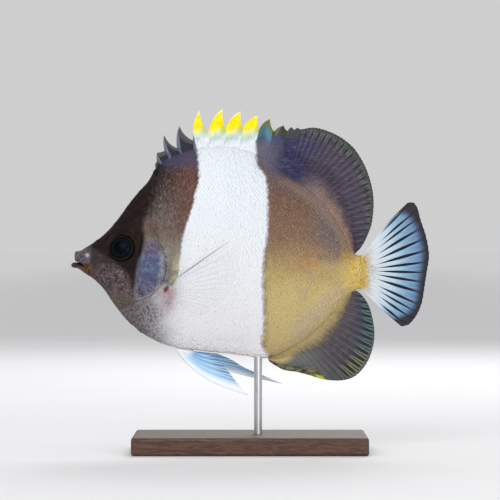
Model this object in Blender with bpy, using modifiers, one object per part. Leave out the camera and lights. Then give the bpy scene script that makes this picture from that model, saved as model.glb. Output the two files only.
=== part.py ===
"""Black pyramid butterflyfish, a still life-size museum model on a plain display stand.

Run with blender --background --python part.py, or from Blender's text editor.
Lengths are in metres and +Z is up. The head points to -X and the fish's left side faces -Y.
The origin is the middle of the base's underside.
"""
import math

import bmesh
import bpy
from mathutils import Euler, Matrix, Vector

# Driving dimensions of the fish
TOTAL_LENGTH = 0.160  # jaw tip to the end of the tail fin
AXIS_HEIGHT = 0.090  # the body's middle line above the floor
U = TOTAL_LENGTH / 160  # the profiles below are drawn for a fish 160 units long
GAP = 0.0003  # kept between two pieces that touch

# Profiles as (along the body, above its middle line), counted from the middle of the total length
BACK = ((-76.4, 0.0), (-73.5, 1.3), (-67.0, 5.6), (-61.6, 10.8), (-51.6, 24.0), (-45.4, 31.0),
        (-41.8, 37.0), (-37.9, 40.2), (-31.2, 43.3), (-22.3, 46.0), (-11.2, 46.6), (0.0, 44.4), (8.9, 39.7),
        (17.9, 33.9), (26.8, 27.4), (34.8, 19.4), (41.1, 9.4), (44.8, 0.6), (48.0, -2.2), (52.1, -2.4))
BELLY = ((-76.4, -9.2), (-73.7, -10.7), (-69.2, -13.6), (-64.3, -18.8), (-59.4, -26.2), (-54.0, -32.4),
         (-47.3, -37.7), (-36.6, -42.6), (-26.1, -44.6), (-12.5, -46.0), (-1.8, -47.3), (6.7, -48.3),
         (15.6, -45.5), (24.6, -40.2), (33.5, -32.6), (41.1, -23.6), (44.8, -19.8), (48.4, -18.3),
         (52.1, -18.1))
HALF_WIDTH = ((-76.4, 2.3), (-72.0, 3.8), (-64.0, 6.0), (-55.0, 8.4), (-44.0, 10.8), (-30.0, 12.2),
              (-12.0, 12.4), (5.0, 11.3), (20.0, 9.0), (34.0, 6.0), (45.0, 3.7), (52.1, 2.6))
RIDGE = 0.9 * U  # half the flat along the back and the belly, where the fins stand
STATIONS = 43
SIDE_POINTS = 11
UPPER_FULLNESS = 0.72  # a lower value gives a rounder flank
LOWER_FULLNESS = 0.55

# Where the body is parted
GILL_LINE = ((-44.0, 41.0), (-44.3, 31.2), (-44.2, 20.1), (-44.2, 11.2), (-41.1, 4.5), (-38.4, -1.3),
             (-37.5, -8.0), (-38.8, -13.8), (-42.4, -18.8), (-47.8, -21.9), (-53.6, -24.1), (-64.0, -26.4))
GILL_SAMPLES = 34
JAW_LINE = ((-83.0, -4.6), (-77.7, -5.3), (-74.8, -6.2), (-72.6, -7.8), (-70.8, -10.6), (-70.2, -17.0))
STALK_X = 46.5 * U
BODY_END_X = 52.1 * U

# Gill cover, whose rear edge follows the gill line from its bend to its foot
COVER_REAR = (0.35, 0.73)  # shares of the gill line's length
COVER_FRONT = ((-47.9, -20.7), (-50.2, -18.0), (-50.8, -13.2), (-50.3, -7.4), (-49.3, -1.4), (-48.0, 4.4),
               (-46.6, 7.6))
COVER_PROUD = 0.45 * U
COVER_THICK = 1.6 * U

# Eye
EYE_CENTRE = Vector((-57.4, 0.0, 0.7)) * U
EYE_RADIUS = 5.6 * U
EYE_DEPTH = 3.2 * U  # half the eyeball's size across the head
EYE_Y = 5.3 * U
EYE_TURN = (math.radians(9), math.radians(13))  # up and forward, so that it's square to the cheek
ORBIT_SIZE = Vector((6.6, 1.3, 6.6)) * U
ORBIT_OUT = 1.3 * U  # from the eyeball's middle to the rim's

# Mouth and nose
UPPER_LIP = (Vector((-74.0, 0.0, -2.8)) * U, Vector((4.4, 3.2, 3.2)) * U, math.radians(4))
LOWER_JAW = (Vector((-75.7, 0.0, -8.0)) * U, Vector((4.4, 2.6, 2.0)) * U, math.radians(18))
NOSTRILS = ((-65.6, 2.7), (-63.4, 3.9))
NOSTRIL_RADIUS = 0.65 * U

# Dorsal fin: twelve spines, then soft rays
SPINE_ROOT_X = (-41.3, -39.3, -35.3, -30.8, -24.6, -17.4, -10.7, -4.0, 2.2, 7.6, 12.5, 16.0)
SPINE_TIPS = ((-42.3, 38.6), (-41.4, 43.6), (-38.3, 51.5), (-31.4, 55.6), (-22.5, 62.3), (-12.2, 63.0),
              (-4.1, 61.9), (3.4, 60.1), (8.9, 58.4), (15.1, 55.5), (18.7, 54.9), (21.4, 54.6))
SPINE_NOTCHES = ((-41.6, 39.6), (-38.2, 44.4), (-32.6, 45.6), (-25.4, 49.0), (-18.6, 52.5), (-10.7, 54.5),
                 (-3.1, 54.4), (4.2, 54.0), (10.9, 52.9), (16.8, 53.1), (20.0, 53.6))
SPINE_BULGE = 0.08  # of the front edge, as a share of its length
SPINE_HOLLOW = 0.08  # of the rear edge
SOFT_DORSAL = ((22.8, 53.9), (28.6, 54.7), (35.7, 52.8), (42.0, 49.4), (47.4, 44.3), (52.4, 35.1),
               (55.1, 24.0), (54.5, 12.5), (52.0, 5.4), (48.6, -0.6))
SOFT_DORSAL_BASE = (17.4, 44.9)
SEAM_HALF = 0.2 * U  # from the seam between the two dorsal fins to each of them
DORSAL_RAYS = 25

# Anal fin: three spines at its front, then soft rays
ANAL = ((8.6, -49.8), (12.0, -52.0), (15.4, -53.6), (20.5, -54.4), (26.8, -56.0), (33.0, -57.8),
        (40.2, -58.3), (46.0, -56.9), (50.8, -52.6), (54.2, -46.0), (55.6, -38.6), (54.6, -30.4),
        (52.0, -23.4), (48.4, -20.2))
ANAL_BASE = (7.6, 44.9)
ANAL_SPINES = 3
ANAL_RAYS = 21

# Tail fin
TAIL_MARGIN = ((70.4, 21.2), (73.0, 21.2), (74.8, 18.8), (76.2, 13.6), (78.2, 7.8), (79.5, 2.2),
               (80.0, -3.2), (79.0, -9.8), (77.9, -17.0), (76.8, -23.4), (74.6, -28.8), (71.0, -33.2),
               (67.6, -34.2))
TAIL_BASE = ((52.6, 0.2), (52.6, -19.2))
TAIL_RAYS = 17
TAIL_ROOT_HALF = 2.2 * U
TAIL_BOW = 1.5 * U

# Paired fins
PECTORAL_BASE = ((-36.9, -14.6), (-35.3, -21.6))
PECTORAL_RAYS = 14
PECTORAL_LENGTH = (35.5, 13.5)  # the top ray and the lowest one
PECTORAL_ANGLE = (math.radians(35), math.radians(-36))
PECTORAL_SPLAY = math.radians(11)
PELVIC_LEFT = (((-34.4, -43.4), (-25.0, -45.4)),
               ((-0.9, -64.2), (-5.6, -59.2), (-9.4, -54.2), (-14.0, -50.2), (-18.6, -47.6)), 5.4)
PELVIC_RIGHT = (((-34.4, -43.4), (-25.0, -45.4)),
                ((14.6, -60.2), (6.4, -56.6), (-2.0, -53.0), (-9.2, -49.6), (-16.4, -47.2)), 2.6)
PELVIC_RAYS = 6
PELVIC_Y = 2.7 * U
PELVIC_SPLAY = math.radians(10)

# Thickness of the fins' membranes and of the ridges that their rays raise on them
MEMBRANE_HALF = 0.27 * U
RAY_RISE = 0.30 * U
SPINE_RISE = 0.50 * U
FIN_BASE_HALF = 0.85 * U
FIN_GAP = 0.0004  # from a fin's base to the flat it stands on
FIN_ROWS = (0.0, 0.12, 0.32, 0.56, 0.8, 1.0)
PAIRED_ROWS = (0.0, 0.14, 0.42, 0.72, 1.0)
SHARP_ANGLE = math.radians(35)

# Display stand
BASE_SIZE = (0.104, 0.056, 0.008)
BASE_EDGE = 0.0012
ROD_X = 3.6 * U
ROD_RADIUS = 0.0018
ROD_INSET = 0.009  # how far the rod enters the belly
ROD_SOCKET = 0.003  # how far it enters the base


# Materials, as colour, roughness and metallic value
FINISHES = {
    "head": ((0.16, 0.11, 0.10), 0.45, 0.0),
    "lower_jaw": ((0.24, 0.17, 0.13), 0.45, 0.0),
    "gill_cover": ((0.22, 0.22, 0.33), 0.35, 0.0),
    "eye": ((0.02, 0.03, 0.04), 0.08, 0.0),
    "trunk": ((0.62, 0.60, 0.58), 0.40, 0.0),
    "tail_stalk": ((0.55, 0.38, 0.11), 0.40, 0.0),
    "dorsal_fin_spiny": ((0.75, 0.68, 0.12), 0.40, 0.0),
    "dorsal_fin_soft": ((0.09, 0.07, 0.13), 0.40, 0.0),
    "anal_fin": ((0.12, 0.10, 0.10), 0.40, 0.0),
    "caudal_fin": ((0.45, 0.58, 0.75), 0.35, 0.0),
    "pectoral_fin": ((0.62, 0.62, 0.64), 0.30, 0.0),
    "pelvic_fin": ((0.55, 0.70, 0.88), 0.30, 0.0),
    "stand_base": ((0.10, 0.06, 0.04), 0.35, 0.0),
    "stand_rod": ((0.60, 0.60, 0.62), 0.25, 1.0),
}


def clear_scene():
    for thing in list(bpy.data.objects):
        bpy.data.objects.remove(thing, do_unlink=True)


def collection(name):
    group = bpy.data.collections.new(name)
    bpy.context.scene.collection.children.link(group)
    return group


clear_scene()
MODEL = collection("black_pyramid_butterflyfish")
CUTTERS = collection("cutters")


def material(name):
    colour, roughness, metallic = FINISHES[name]
    made = bpy.data.materials.get(name) or bpy.data.materials.new(name)
    made.use_nodes = True
    shader = made.node_tree.nodes["Principled BSDF"]
    shader.inputs["Base Color"].default_value = (*colour, 1.0)
    shader.inputs["Roughness"].default_value = roughness
    shader.inputs["Metallic"].default_value = metallic
    made.diffuse_color = (*colour, 1.0)
    return made


def place(name, mesh, finish=None):
    """Link a mesh as an object of the model, or as a cutter where it has no finish."""
    made = bpy.data.objects.new(name, mesh)
    if finish is None:
        made.hide_render = True
        made.display_type = "WIRE"
        CUTTERS.objects.link(made)
        return made
    mesh.materials.clear()
    mesh.materials.append(material(finish))
    MODEL.objects.link(made)
    return made


def from_bmesh(name, shape, finish=None):
    mesh = bpy.data.meshes.new(name)
    shape.to_mesh(mesh)
    shape.free()
    return place(name, mesh, finish)


# Lines and profiles

def smooth(points, x):
    """Height at x of a smooth line through points in order of x, which never swings past them."""
    count = len(points)
    steps = [points[i + 1][0] - points[i][0] for i in range(count - 1)]
    slopes = [(points[i + 1][1] - points[i][1]) / steps[i] for i in range(count - 1)]

    def tangent(i):
        if i == 0:
            return slopes[0]
        if i == count - 1:
            return slopes[-1]
        before, after = slopes[i - 1], slopes[i]
        if before * after <= 0:
            return 0.0
        return 2 * before * after / (before + after)

    x = min(max(x, points[0][0]), points[-1][0])
    i = max(k for k in range(count - 1) if points[k][0] <= x)
    t = (x - points[i][0]) / steps[i]
    start, end = points[i][1], points[i + 1][1]
    lift = (2 * t ** 3 - 3 * t ** 2 + 1) * start + (3 * t ** 2 - 2 * t ** 3) * end
    return lift + steps[i] * ((t ** 3 - 2 * t ** 2 + t) * tangent(i) + (t ** 3 - t ** 2) * tangent(i + 1))


def along(points, t):
    """Point at share t of the length of a smooth curve through points, in the upright plane."""
    spots = [Vector((x, 0.0, z)) * U for x, z in points]
    spans = [(b - a).length for a, b in zip(spots, spots[1:])]
    far = max(0.0, min(1.0, t)) * sum(spans)
    i = 0
    while i < len(spans) - 1 and far > spans[i]:
        far -= spans[i]
        i += 1
    s = far / spans[i]
    a, b = spots[i], spots[i + 1]
    before = spots[i - 1] if i else a - (b - a)
    after = spots[i + 2] if i + 2 < len(spots) else b + (b - a)
    leave = (b - before) * (spans[i] / ((a - before).length + spans[i]))
    arrive = (after - a) * (spans[i] / ((after - b).length + spans[i]))
    return ((2 * s ** 3 - 3 * s ** 2 + 1) * a + (s ** 3 - 2 * s ** 2 + s) * leave
            + (3 * s ** 2 - 2 * s ** 3) * b + (s ** 3 - s ** 2) * arrive)


def between(a, b, t):
    return a + (b - a) * t


def back(x):
    return smooth(BACK, x / U) * U


def belly(x):
    return smooth(BELLY, x / U) * U


def half_width(x, z, swell=0.0):
    """Half the body's thickness at a point of its side, with the skin pushed out by swell."""
    top, low = back(x), belly(x)
    middle = (top + low) / 2
    reach = top - middle if z > middle else middle - low
    fullness = UPPER_FULLNESS if z > middle else LOWER_FULLNESS
    share = min(1.0, abs(z - middle) / reach)
    widest = smooth(HALF_WIDTH, x / U) * U + swell
    return RIDGE + (widest - RIDGE) * (1 - share * share) ** fullness


# Modelling helpers

def body_shape(name, swell=0.0):
    """The body as a loft of upright sections, each with a flat on the back and one on the belly."""
    shape = bmesh.new()
    start, end = BACK[0][0] * U, BODY_END_X
    rings = []
    for station in range(STATIONS):
        x = start + (end - start) * station / (STATIONS - 1)
        top, low = back(x), belly(x)
        side = []
        for k in range(SIDE_POINTS):
            share = -math.cos(math.pi * k / (SIDE_POINTS - 1))
            z = (top + low) / 2 + share * (top - low) / 2
            side.append((half_width(x, z, swell), z))
        ring = [shape.verts.new((x, -y, z)) for y, z in side]
        ring += [shape.verts.new((x, y, z)) for y, z in reversed(side)]
        rings.append(ring)
    size = len(rings[0])
    for a, b in zip(rings, rings[1:]):
        for k in range(size):
            n = (k + 1) % size
            shape.faces.new((a[k], b[k], b[n], a[n]))
    shape.faces.new(rings[0])
    shape.faces.new(list(reversed(rings[-1])))
    bmesh.ops.recalc_face_normals(shape, faces=shape.faces)
    raise_to_axis(shape)
    return from_bmesh(name, shape)


def raise_to_axis(shape):
    bmesh.ops.translate(shape, vec=(0, 0, AXIS_HEIGHT), verts=shape.verts)


def prism(name, outline, reach=0.04):
    """A closed outline in the upright plane, as a solid that runs across the whole body."""
    curve = bpy.data.curves.new(name, "CURVE")
    curve.dimensions = "2D"
    curve.fill_mode = "BOTH"
    curve.extrude = reach
    spline = curve.splines.new("POLY")
    spline.points.add(len(outline) - 1)
    for spot, point in zip(spline.points, outline):
        spot.co = (point.x, point.z, 0.0, 1.0)
    spline.use_cyclic_u = True
    guide = bpy.data.objects.new(name, curve)
    CUTTERS.objects.link(guide)
    bpy.context.view_layer.update()
    view = bpy.context.evaluated_depsgraph_get()
    mesh = bpy.data.meshes.new_from_object(guide.evaluated_get(view))
    bpy.data.objects.remove(guide)
    shape = bmesh.new()
    shape.from_mesh(mesh)
    bmesh.ops.remove_doubles(shape, verts=shape.verts, dist=1e-6)
    bmesh.ops.rotate(shape, matrix=Matrix.Rotation(math.pi / 2, 3, "X"), verts=shape.verts)
    bmesh.ops.recalc_face_normals(shape, faces=shape.faces)
    raise_to_axis(shape)
    return from_bmesh(name, shape)


def beside(line, distance):
    """The line moved sideways in the upright plane, to the left of its own direction."""
    runs = [(b - a).normalized() for a, b in zip(line, line[1:])]
    sides = [Vector((-run.z, 0, run.x)) for run in runs]
    moved = []
    for point, before, after in zip(line, sides[:1] + sides, sides + sides[-1:]):
        moved.append(point + (before + after) * distance / (1 + before.dot(after)))
    return moved


def slab(name, line, front, behind):
    """A thin upright sheet along a line, which parts the body."""
    return prism(name, beside(line, front) + list(reversed(beside(line, behind))))


def ball(name, centre, radii, turn=(0, 0, 0), segments=16, rings=10, finish=None):
    """An ellipsoid, its poles across the body, turned about each axis."""
    shape = bmesh.new()
    bmesh.ops.create_uvsphere(shape, u_segments=segments, v_segments=rings, radius=1.0)
    bmesh.ops.rotate(shape, matrix=Matrix.Rotation(math.pi / 2, 3, "X"), verts=shape.verts)
    bmesh.ops.scale(shape, vec=radii, verts=shape.verts)
    bmesh.ops.rotate(shape, matrix=Euler(turn).to_matrix(), verts=shape.verts)
    bmesh.ops.translate(shape, vec=centre, verts=shape.verts)
    raise_to_axis(shape)
    return from_bmesh(name, shape, finish)


def combine(target, other, operation):
    """Apply a Boolean of the other object to the target, and remove the other."""
    modifier = target.modifiers.new(operation.title(), "BOOLEAN")
    modifier.operation = operation
    modifier.solver = "EXACT"
    modifier.object = other
    bpy.context.view_layer.update()
    view = bpy.context.evaluated_depsgraph_get()
    mesh = bpy.data.meshes.new_from_object(target.evaluated_get(view))
    target.modifiers.clear()
    target.data = mesh
    bpy.data.objects.remove(other)


def pieces(thing):
    """The closed surfaces of an object, each as a bmesh, largest first."""
    whole = bmesh.new()
    whole.from_mesh(thing.data)
    bmesh.ops.remove_doubles(whole, verts=whole.verts, dist=2e-6)
    bmesh.ops.dissolve_degenerate(whole, edges=whole.edges, dist=2e-6)
    whole.verts.index_update()
    seen, islands = set(), []
    for vert in whole.verts:
        if vert.index in seen:
            continue
        island, stack = set(), [vert]
        seen.add(vert.index)
        while stack:
            spot = stack.pop()
            island.add(spot.index)
            for edge in spot.link_edges:
                far = edge.other_vert(spot)
                if far.index not in seen:
                    seen.add(far.index)
                    stack.append(far)
        islands.append(island)
    found = []
    for island in islands:
        part = whole.copy()
        part.verts.ensure_lookup_table()
        bmesh.ops.delete(part, geom=[v for v in part.verts if v.index not in island], context="VERTS")
        found.append(part)
    whole.free()
    return sorted(found, key=lambda part: -abs(part.calc_volume()))


def keep_largest(thing):
    found = pieces(thing)
    found[0].to_mesh(thing.data)
    for part in found:
        part.free()


def centre_x(part):
    return sum(v.co.x for v in part.verts) / len(part.verts)


# Fins

def sheet(name, grid, halves, finish, across=None):
    """A fin as one closed sheet. Both faces are split alike, so that they never cross."""
    shape = bmesh.new()
    columns, rows = len(grid), len(grid[0])

    def facing(i, j):
        if across is not None:
            return across
        run = grid[min(i + 1, columns - 1)][j] - grid[max(i - 1, 0)][j]
        rise = grid[i][min(j + 1, rows - 1)] - grid[i][max(j - 1, 0)]
        return rise.cross(run).normalized()

    front, rear = [], []
    for i in range(columns):
        steps = [facing(i, j) * halves[i][j] for j in range(rows)]
        front.append([shape.verts.new(grid[i][j] + steps[j]) for j in range(rows)])
        rear.append([shape.verts.new(grid[i][j] - steps[j]) for j in range(rows)])
    for i in range(columns - 1):
        for j in range(rows - 1):
            for face in (front, rear):
                a, b, c, d = face[i][j], face[i + 1][j], face[i + 1][j + 1], face[i][j + 1]
                shape.faces.new((a, b, c))
                shape.faces.new((a, c, d))
    rim = [(i, 0) for i in range(columns)] + [(columns - 1, j) for j in range(1, rows)]
    rim += [(i, rows - 1) for i in range(columns - 2, -1, -1)] + [(0, j) for j in range(rows - 2, 0, -1)]
    for (i, j), (m, n) in zip(rim, rim[1:] + rim[:1]):
        shape.faces.new((front[i][j], front[m][n], rear[m][n]))
        shape.faces.new((front[i][j], rear[m][n], rear[i][j]))
    bmesh.ops.recalc_face_normals(shape, faces=shape.faces)
    raise_to_axis(shape)
    return from_bmesh(name, shape, finish)


def fin_half(v, rise, base_half=FIN_BASE_HALF):
    """Half a fin's thickness at share v of its height, over a ridge of the given rise."""
    root = max(0.0, 1 - v / 0.45) ** 2
    ridge = rise * min(1.0, v / 0.12) * (1 - 0.55 * v)
    return MEMBRANE_HALF + (base_half - MEMBRANE_HALF) * root + ridge


def ray_columns(count, base, margin, rise=RAY_RISE, foot=0.2):
    """Base point, margin point and rise of each column. A ray has a crest and a foot on each side."""
    columns = [(base(0.0), margin(0.0), 0.0)]
    for ray in range(count):
        for side in (-foot, 0.0, foot):
            t = (ray + 0.5 + side) / count
            columns.append((base(t), margin(t), 0.0 if side else rise))
    columns.append((base(1.0), margin(1.0), 0.0))
    return columns


def median_fin(name, columns, base_half=FIN_BASE_HALF, bow=0.0):
    """A fin in the body's middle plane. Bow spreads its outer columns apart half way up."""
    grid = []
    for i, (low, top, rise) in enumerate(columns):
        run = (top - low).normalized()
        side = Vector((-run.z, 0, run.x)) * bow * (1 - 2 * i / (len(columns) - 1))
        grid.append([low.lerp(top, v) + side * math.sin(math.pi * v ** 0.8) for v in FIN_ROWS])
    halves = [[fin_half(v, rise, base_half) for v in FIN_ROWS] for low, top, rise in columns]
    return sheet(name, grid, halves, name, across=Vector((0, 1, 0)))


def off_ridge(line, x, side):
    """A fin's base point beside the body's straight facet at x, a gap off it. side is 1 for the back."""
    start = BACK[0][0] * U
    step = (BODY_END_X - start) / (STATIONS - 1)
    before = start + math.floor((x - start) / step) * step
    low, high = Vector((before, 0, line(before))), Vector((before + step, 0, line(before + step)))
    run = (high - low).normalized()
    return low.lerp(high, (x - before) / step) + Vector((-run.z, 0, run.x)) * side * FIN_GAP


def on_back(x):
    return off_ridge(back, x, 1)


def under_belly(x):
    return off_ridge(belly, x, -1)


def spiny_dorsal_columns():
    """Each spine stands between two notches. Its front edge bulges and its rear edge is hollow."""
    tips = [Vector((x, 0, z)) * U for x, z in SPINE_TIPS]
    notches = [Vector((x, 0, z)) * U for x, z in SPINE_NOTCHES]
    roots = [x * U for x in SPINE_ROOT_X]
    spread = 0.3 * U
    columns = []
    for i, (root, tip) in enumerate(zip(roots, tips)):
        tip_half = Vector((spread, 0, 0))
        if i:
            notch, low = notches[i - 1], between(roots[i - 1], root, 0.5)
            columns.append((on_back(low), notch, 0.0))
            edge = notch.lerp(tip, 0.55) + Vector((-1, 0, 1)) * SPINE_BULGE * (tip - notch).length
            columns.append((on_back(between(low, root, 0.5)), edge, 0.0))
        columns.append((on_back(root - 2 * spread), tip - tip_half, 0.0))
        columns.append((on_back(root), tip, SPINE_RISE))
        columns.append((on_back(root + 2 * spread), tip + tip_half, 0.0))
        if i < len(notches):
            notch, low = notches[i], between(root, roots[i + 1], 0.5)
            edge = tip.lerp(notch, 0.6) + Vector((-1, 0, -1)) * SPINE_HOLLOW * (tip - notch).length
            columns.append((on_back(between(root, low, 0.6)), edge, 0.0))
    seam = Vector((SEAM_HALF, 0, 0))
    columns.append((on_back(SOFT_DORSAL_BASE[0] * U - SEAM_HALF), along(SOFT_DORSAL, 0) - seam, 0.0))
    return columns


def make_median_fins():
    median_fin("dorsal_fin_spiny", spiny_dorsal_columns())

    first, last = SOFT_DORSAL_BASE
    median_fin("dorsal_fin_soft", ray_columns(
        DORSAL_RAYS,
        lambda t: on_back(between(first, last, t) * U + SEAM_HALF),
        lambda t: along(SOFT_DORSAL, t) + Vector((SEAM_HALF, 0, 0))))

    front, rear = ANAL_BASE
    total = ANAL_SPINES + ANAL_RAYS
    columns = ray_columns(
        total,
        lambda t: under_belly(between(front, rear, t) * U),
        lambda t: along(ANAL, t))
    for spine in range(ANAL_SPINES):
        crest = 2 + 3 * spine
        low, top, rise = columns[crest]
        columns[crest] = (low, top + (top - low).normalized() * 0.9 * U, SPINE_RISE)
    median_fin("anal_fin", columns)

    top, low = (Vector((x, 0, z)) * U for x, z in TAIL_BASE)
    median_fin("caudal_fin", ray_columns(
        TAIL_RAYS,
        lambda t: top.lerp(low, t),
        lambda t: along(TAIL_MARGIN, t)), TAIL_ROOT_HALF, TAIL_BOW)


def set_on_lobe(fin, trunk, centre, size, pitch):
    """Join a fin to its fleshy lobe, and sink a socket for the lobe in the trunk."""
    combine(fin, ball("lobe", centre, size, (0, pitch, 0)), "UNION")
    keep_largest(fin)
    grown = size + Vector((GAP, GAP, GAP)) * 1.1
    combine(trunk, ball("socket", centre, grown, (0, pitch, 0)), "DIFFERENCE")


def make_pectoral_fin(side, name, trunk):
    """A fan of rays that leans off the flank, on a fleshy lobe set in the trunk. side is -1 for left."""
    top, low = (Vector((x, 0, z)) * U for x, z in PECTORAL_BASE)
    middle = (top + low) / 2
    skin = half_width(middle.x, middle.z)
    lobe_size = Vector((1.7, 1.6, 4.4)) * U
    lobe_centre = Vector((middle.x, side * (skin + 0.2 * U), middle.z))
    lean = math.radians(-12)

    def point(t, v):
        angle = between(PECTORAL_ANGLE[0], PECTORAL_ANGLE[1], t)
        length = between(PECTORAL_LENGTH[0], PECTORAL_LENGTH[1], t ** 1.4) * U
        start = top.lerp(low, 0.08 + 0.84 * t)
        ahead = Vector((math.cos(angle), 0, math.sin(angle))) * length * v
        out = skin + 0.9 * U + length * v * math.tan(PECTORAL_SPLAY)
        return Vector((start.x + ahead.x, side * out, start.z + ahead.z))

    grid, halves = [], []
    for column in ray_columns(PECTORAL_RAYS, lambda t: t, lambda t: t):
        t, unused, rise = column
        grid.append([point(t, v) for v in PAIRED_ROWS])
        halves.append([fin_half(v, rise * 0.8, 0.7 * U) for v in PAIRED_ROWS])
    fin = sheet(name, grid, halves, "pectoral_fin")
    set_on_lobe(fin, trunk, lobe_centre, lobe_size, lean)


def make_pelvic_fin(side, name, outline, trunk):
    """A spine and five rays on a small lobe under the breast. side is -1 for left."""
    (front, rear), margin, bow = outline
    first, last = (Vector((x, 0, z)) * U for x, z in (front, rear))
    lobe_centre = first.lerp(last, 0.42) + Vector((0, side * PELVIC_Y, 0.4 * U))
    lobe_size = Vector((4.6, 1.5, 1.6)) * U

    def point(t, v):
        start = first.lerp(last, 0.1 + 0.8 * t)
        end = along(margin, t)
        sag = Vector((0, 0, -1)) * bow * U * (1 - t) * math.sin(math.pi * v ** 0.75)
        spot = start.lerp(end, v) + sag
        spot.y = side * (PELVIC_Y + (spot - start).length * math.tan(PELVIC_SPLAY) * (1 - 0.5 * t))
        return spot

    grid, halves = [], []
    for t, unused, rise in ray_columns(PELVIC_RAYS, lambda t: t, lambda t: t, RAY_RISE, 0.14):
        grid.append([point(t, v) for v in PAIRED_ROWS])
        halves.append([fin_half(v, rise * 1.2, 0.7 * U) for v in PAIRED_ROWS])
    fin = sheet(name, grid, halves, "pelvic_fin")
    set_on_lobe(fin, trunk, lobe_centre, lobe_size, math.radians(-10))


# Body

def part_body():
    """The whole body with its lips, parted into lower jaw, head, trunk and tail stalk."""
    whole = body_shape("body")
    for centre, radii, pitch in (UPPER_LIP, LOWER_JAW):
        combine(whole, ball("lip", centre, radii, (0, pitch, 0), 20, 12), "UNION")
    gill = [along(GILL_LINE, i / (GILL_SAMPLES - 1)) for i in range(GILL_SAMPLES)]
    jaw = [Vector((x, 0, z)) * U for x, z in JAW_LINE]
    stalk = [Vector((STALK_X, 0, z * U)) for z in (20, -35)]
    combine(whole, slab("gill_cut", gill, GAP, 0.0), "DIFFERENCE")
    combine(whole, slab("jaw_cut", jaw, GAP * 0.75, -GAP * 0.75), "DIFFERENCE")
    combine(whole, slab("stalk_cut", stalk, GAP / 2, -GAP / 2), "DIFFERENCE")
    parts = sorted(pieces(whole)[:4], key=centre_x)
    bpy.data.objects.remove(whole)
    names = ("lower_jaw", "head", "trunk", "tail_stalk")
    return {name: from_bmesh(name, part, name) for name, part in zip(names, parts)}


def make_gill_covers(head):
    """Two plates let into the sides of the head, a little proud of it."""
    first, last = COVER_REAR
    rear = [along(GILL_LINE, between(first, last, i / 15)) for i in range(16)]
    outline = rear + [along(COVER_FRONT, i / 11) for i in range(12)]
    cover = prism("cover", outline)
    combine(cover, body_shape("cover_outer", COVER_PROUD), "INTERSECT")
    combine(cover, body_shape("cover_inner", COVER_PROUD - COVER_THICK), "DIFFERENCE")
    for part in pieces(cover)[:2]:
        side = "left" if sum(v.co.y for v in part.verts) < 0 else "right"
        from_bmesh("gill_cover_" + side, part, "gill_cover")
    bpy.data.objects.remove(cover)
    closed = outline + outline[:2]
    grown = beside(closed, GAP)[1:-1]
    recess = prism("cover_recess", grown)
    combine(recess, body_shape("recess_inner", COVER_PROUD - COVER_THICK - GAP), "DIFFERENCE")
    combine(head, recess, "DIFFERENCE")
    keep_largest(head)


def make_eyes(head):
    for side, name in ((-1, "eye_left"), (1, "eye_right")):
        centre = EYE_CENTRE + Vector((0, side * EYE_Y, 0))
        radii = Vector((EYE_RADIUS, EYE_DEPTH, EYE_RADIUS))
        turn = (side * EYE_TURN[0], 0, side * EYE_TURN[1])
        facing = Euler(turn).to_matrix() @ Vector((0, side, 0))
        rim = ball("orbit_rim", centre + facing * ORBIT_OUT, ORBIT_SIZE, turn, 28, 10)
        combine(head, rim, "UNION")
        grown = radii + Vector((GAP, GAP, GAP))
        combine(head, ball("eye_socket", centre, grown, turn, 20, 10), "DIFFERENCE")
        ball(name, centre, radii, turn, 20, 10, "eye")


def make_nostrils(head):
    for side in (-1, 1):
        for x, z in NOSTRILS:
            centre = Vector((x * U, side * half_width(x * U, z * U), z * U))
            size = Vector((1, 1, 1)) * NOSTRIL_RADIUS
            combine(head, ball("nostril", centre, size, (0, 0, 0), 10, 6), "DIFFERENCE")


# Stand

def cylinder(name, radius, low, high, segments, finish=None):
    shape = bmesh.new()
    middle = Matrix.Translation((ROD_X, 0, (low + high) / 2))
    bmesh.ops.create_cone(shape, cap_ends=True, segments=segments, radius1=radius, radius2=radius,
                          depth=high - low, matrix=middle)
    return from_bmesh(name, shape, finish)


def make_stand(trunk):
    length, width, height = BASE_SIZE
    shape = bmesh.new()
    block = Matrix.Translation((0, 0, height / 2)) @ Matrix.Diagonal((length, width, height, 1))
    bmesh.ops.create_cube(shape, size=1.0, matrix=block)
    base = from_bmesh("stand_base", shape, "stand_base")
    edge = base.modifiers.new("Rounded edge", "BEVEL")
    edge.width = BASE_EDGE
    edge.segments = 3
    low = height - ROD_SOCKET
    top = AXIS_HEIGHT + belly(ROD_X) + ROD_INSET
    combine(base, cylinder("rod_seat", ROD_RADIUS + GAP, low - GAP, height + 0.01, 24), "DIFFERENCE")
    cylinder("stand_rod", ROD_RADIUS, low, top, 24, "stand_rod")
    foot = top - ROD_INSET - 0.01
    combine(trunk, cylinder("rod_hole", ROD_RADIUS + GAP, foot, top + GAP, 24), "DIFFERENCE")


def main():
    body = part_body()
    make_gill_covers(body["head"])
    make_eyes(body["head"])
    make_nostrils(body["head"])
    keep_largest(body["head"])
    make_median_fins()
    for side, word, outline in ((-1, "left", PELVIC_LEFT), (1, "right", PELVIC_RIGHT)):
        make_pectoral_fin(side, "pectoral_fin_" + word, body["trunk"])
        make_pelvic_fin(side, "pelvic_fin_" + word, outline, body["trunk"])
    make_stand(body["trunk"])
    keep_largest(body["trunk"])
    for thing in MODEL.objects:
        thing.data.shade_smooth()
        thing.data.set_sharp_from_angle(angle=SHARP_ANGLE)


main()
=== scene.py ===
"""The looks of a black pyramid butterflyfish, a life-size museum model on its display stand.

The fish's own shapes are drawn in millimetres: x along the body from the middle of the total length,
y across it, and z above its middle line. The head points to -X and its left side faces the camera.
"""
import math

import bmesh
import bpy
import numpy as np
from mathutils import Euler, Matrix, Vector
from mathutils.bvhtree import BVHTree


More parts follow.
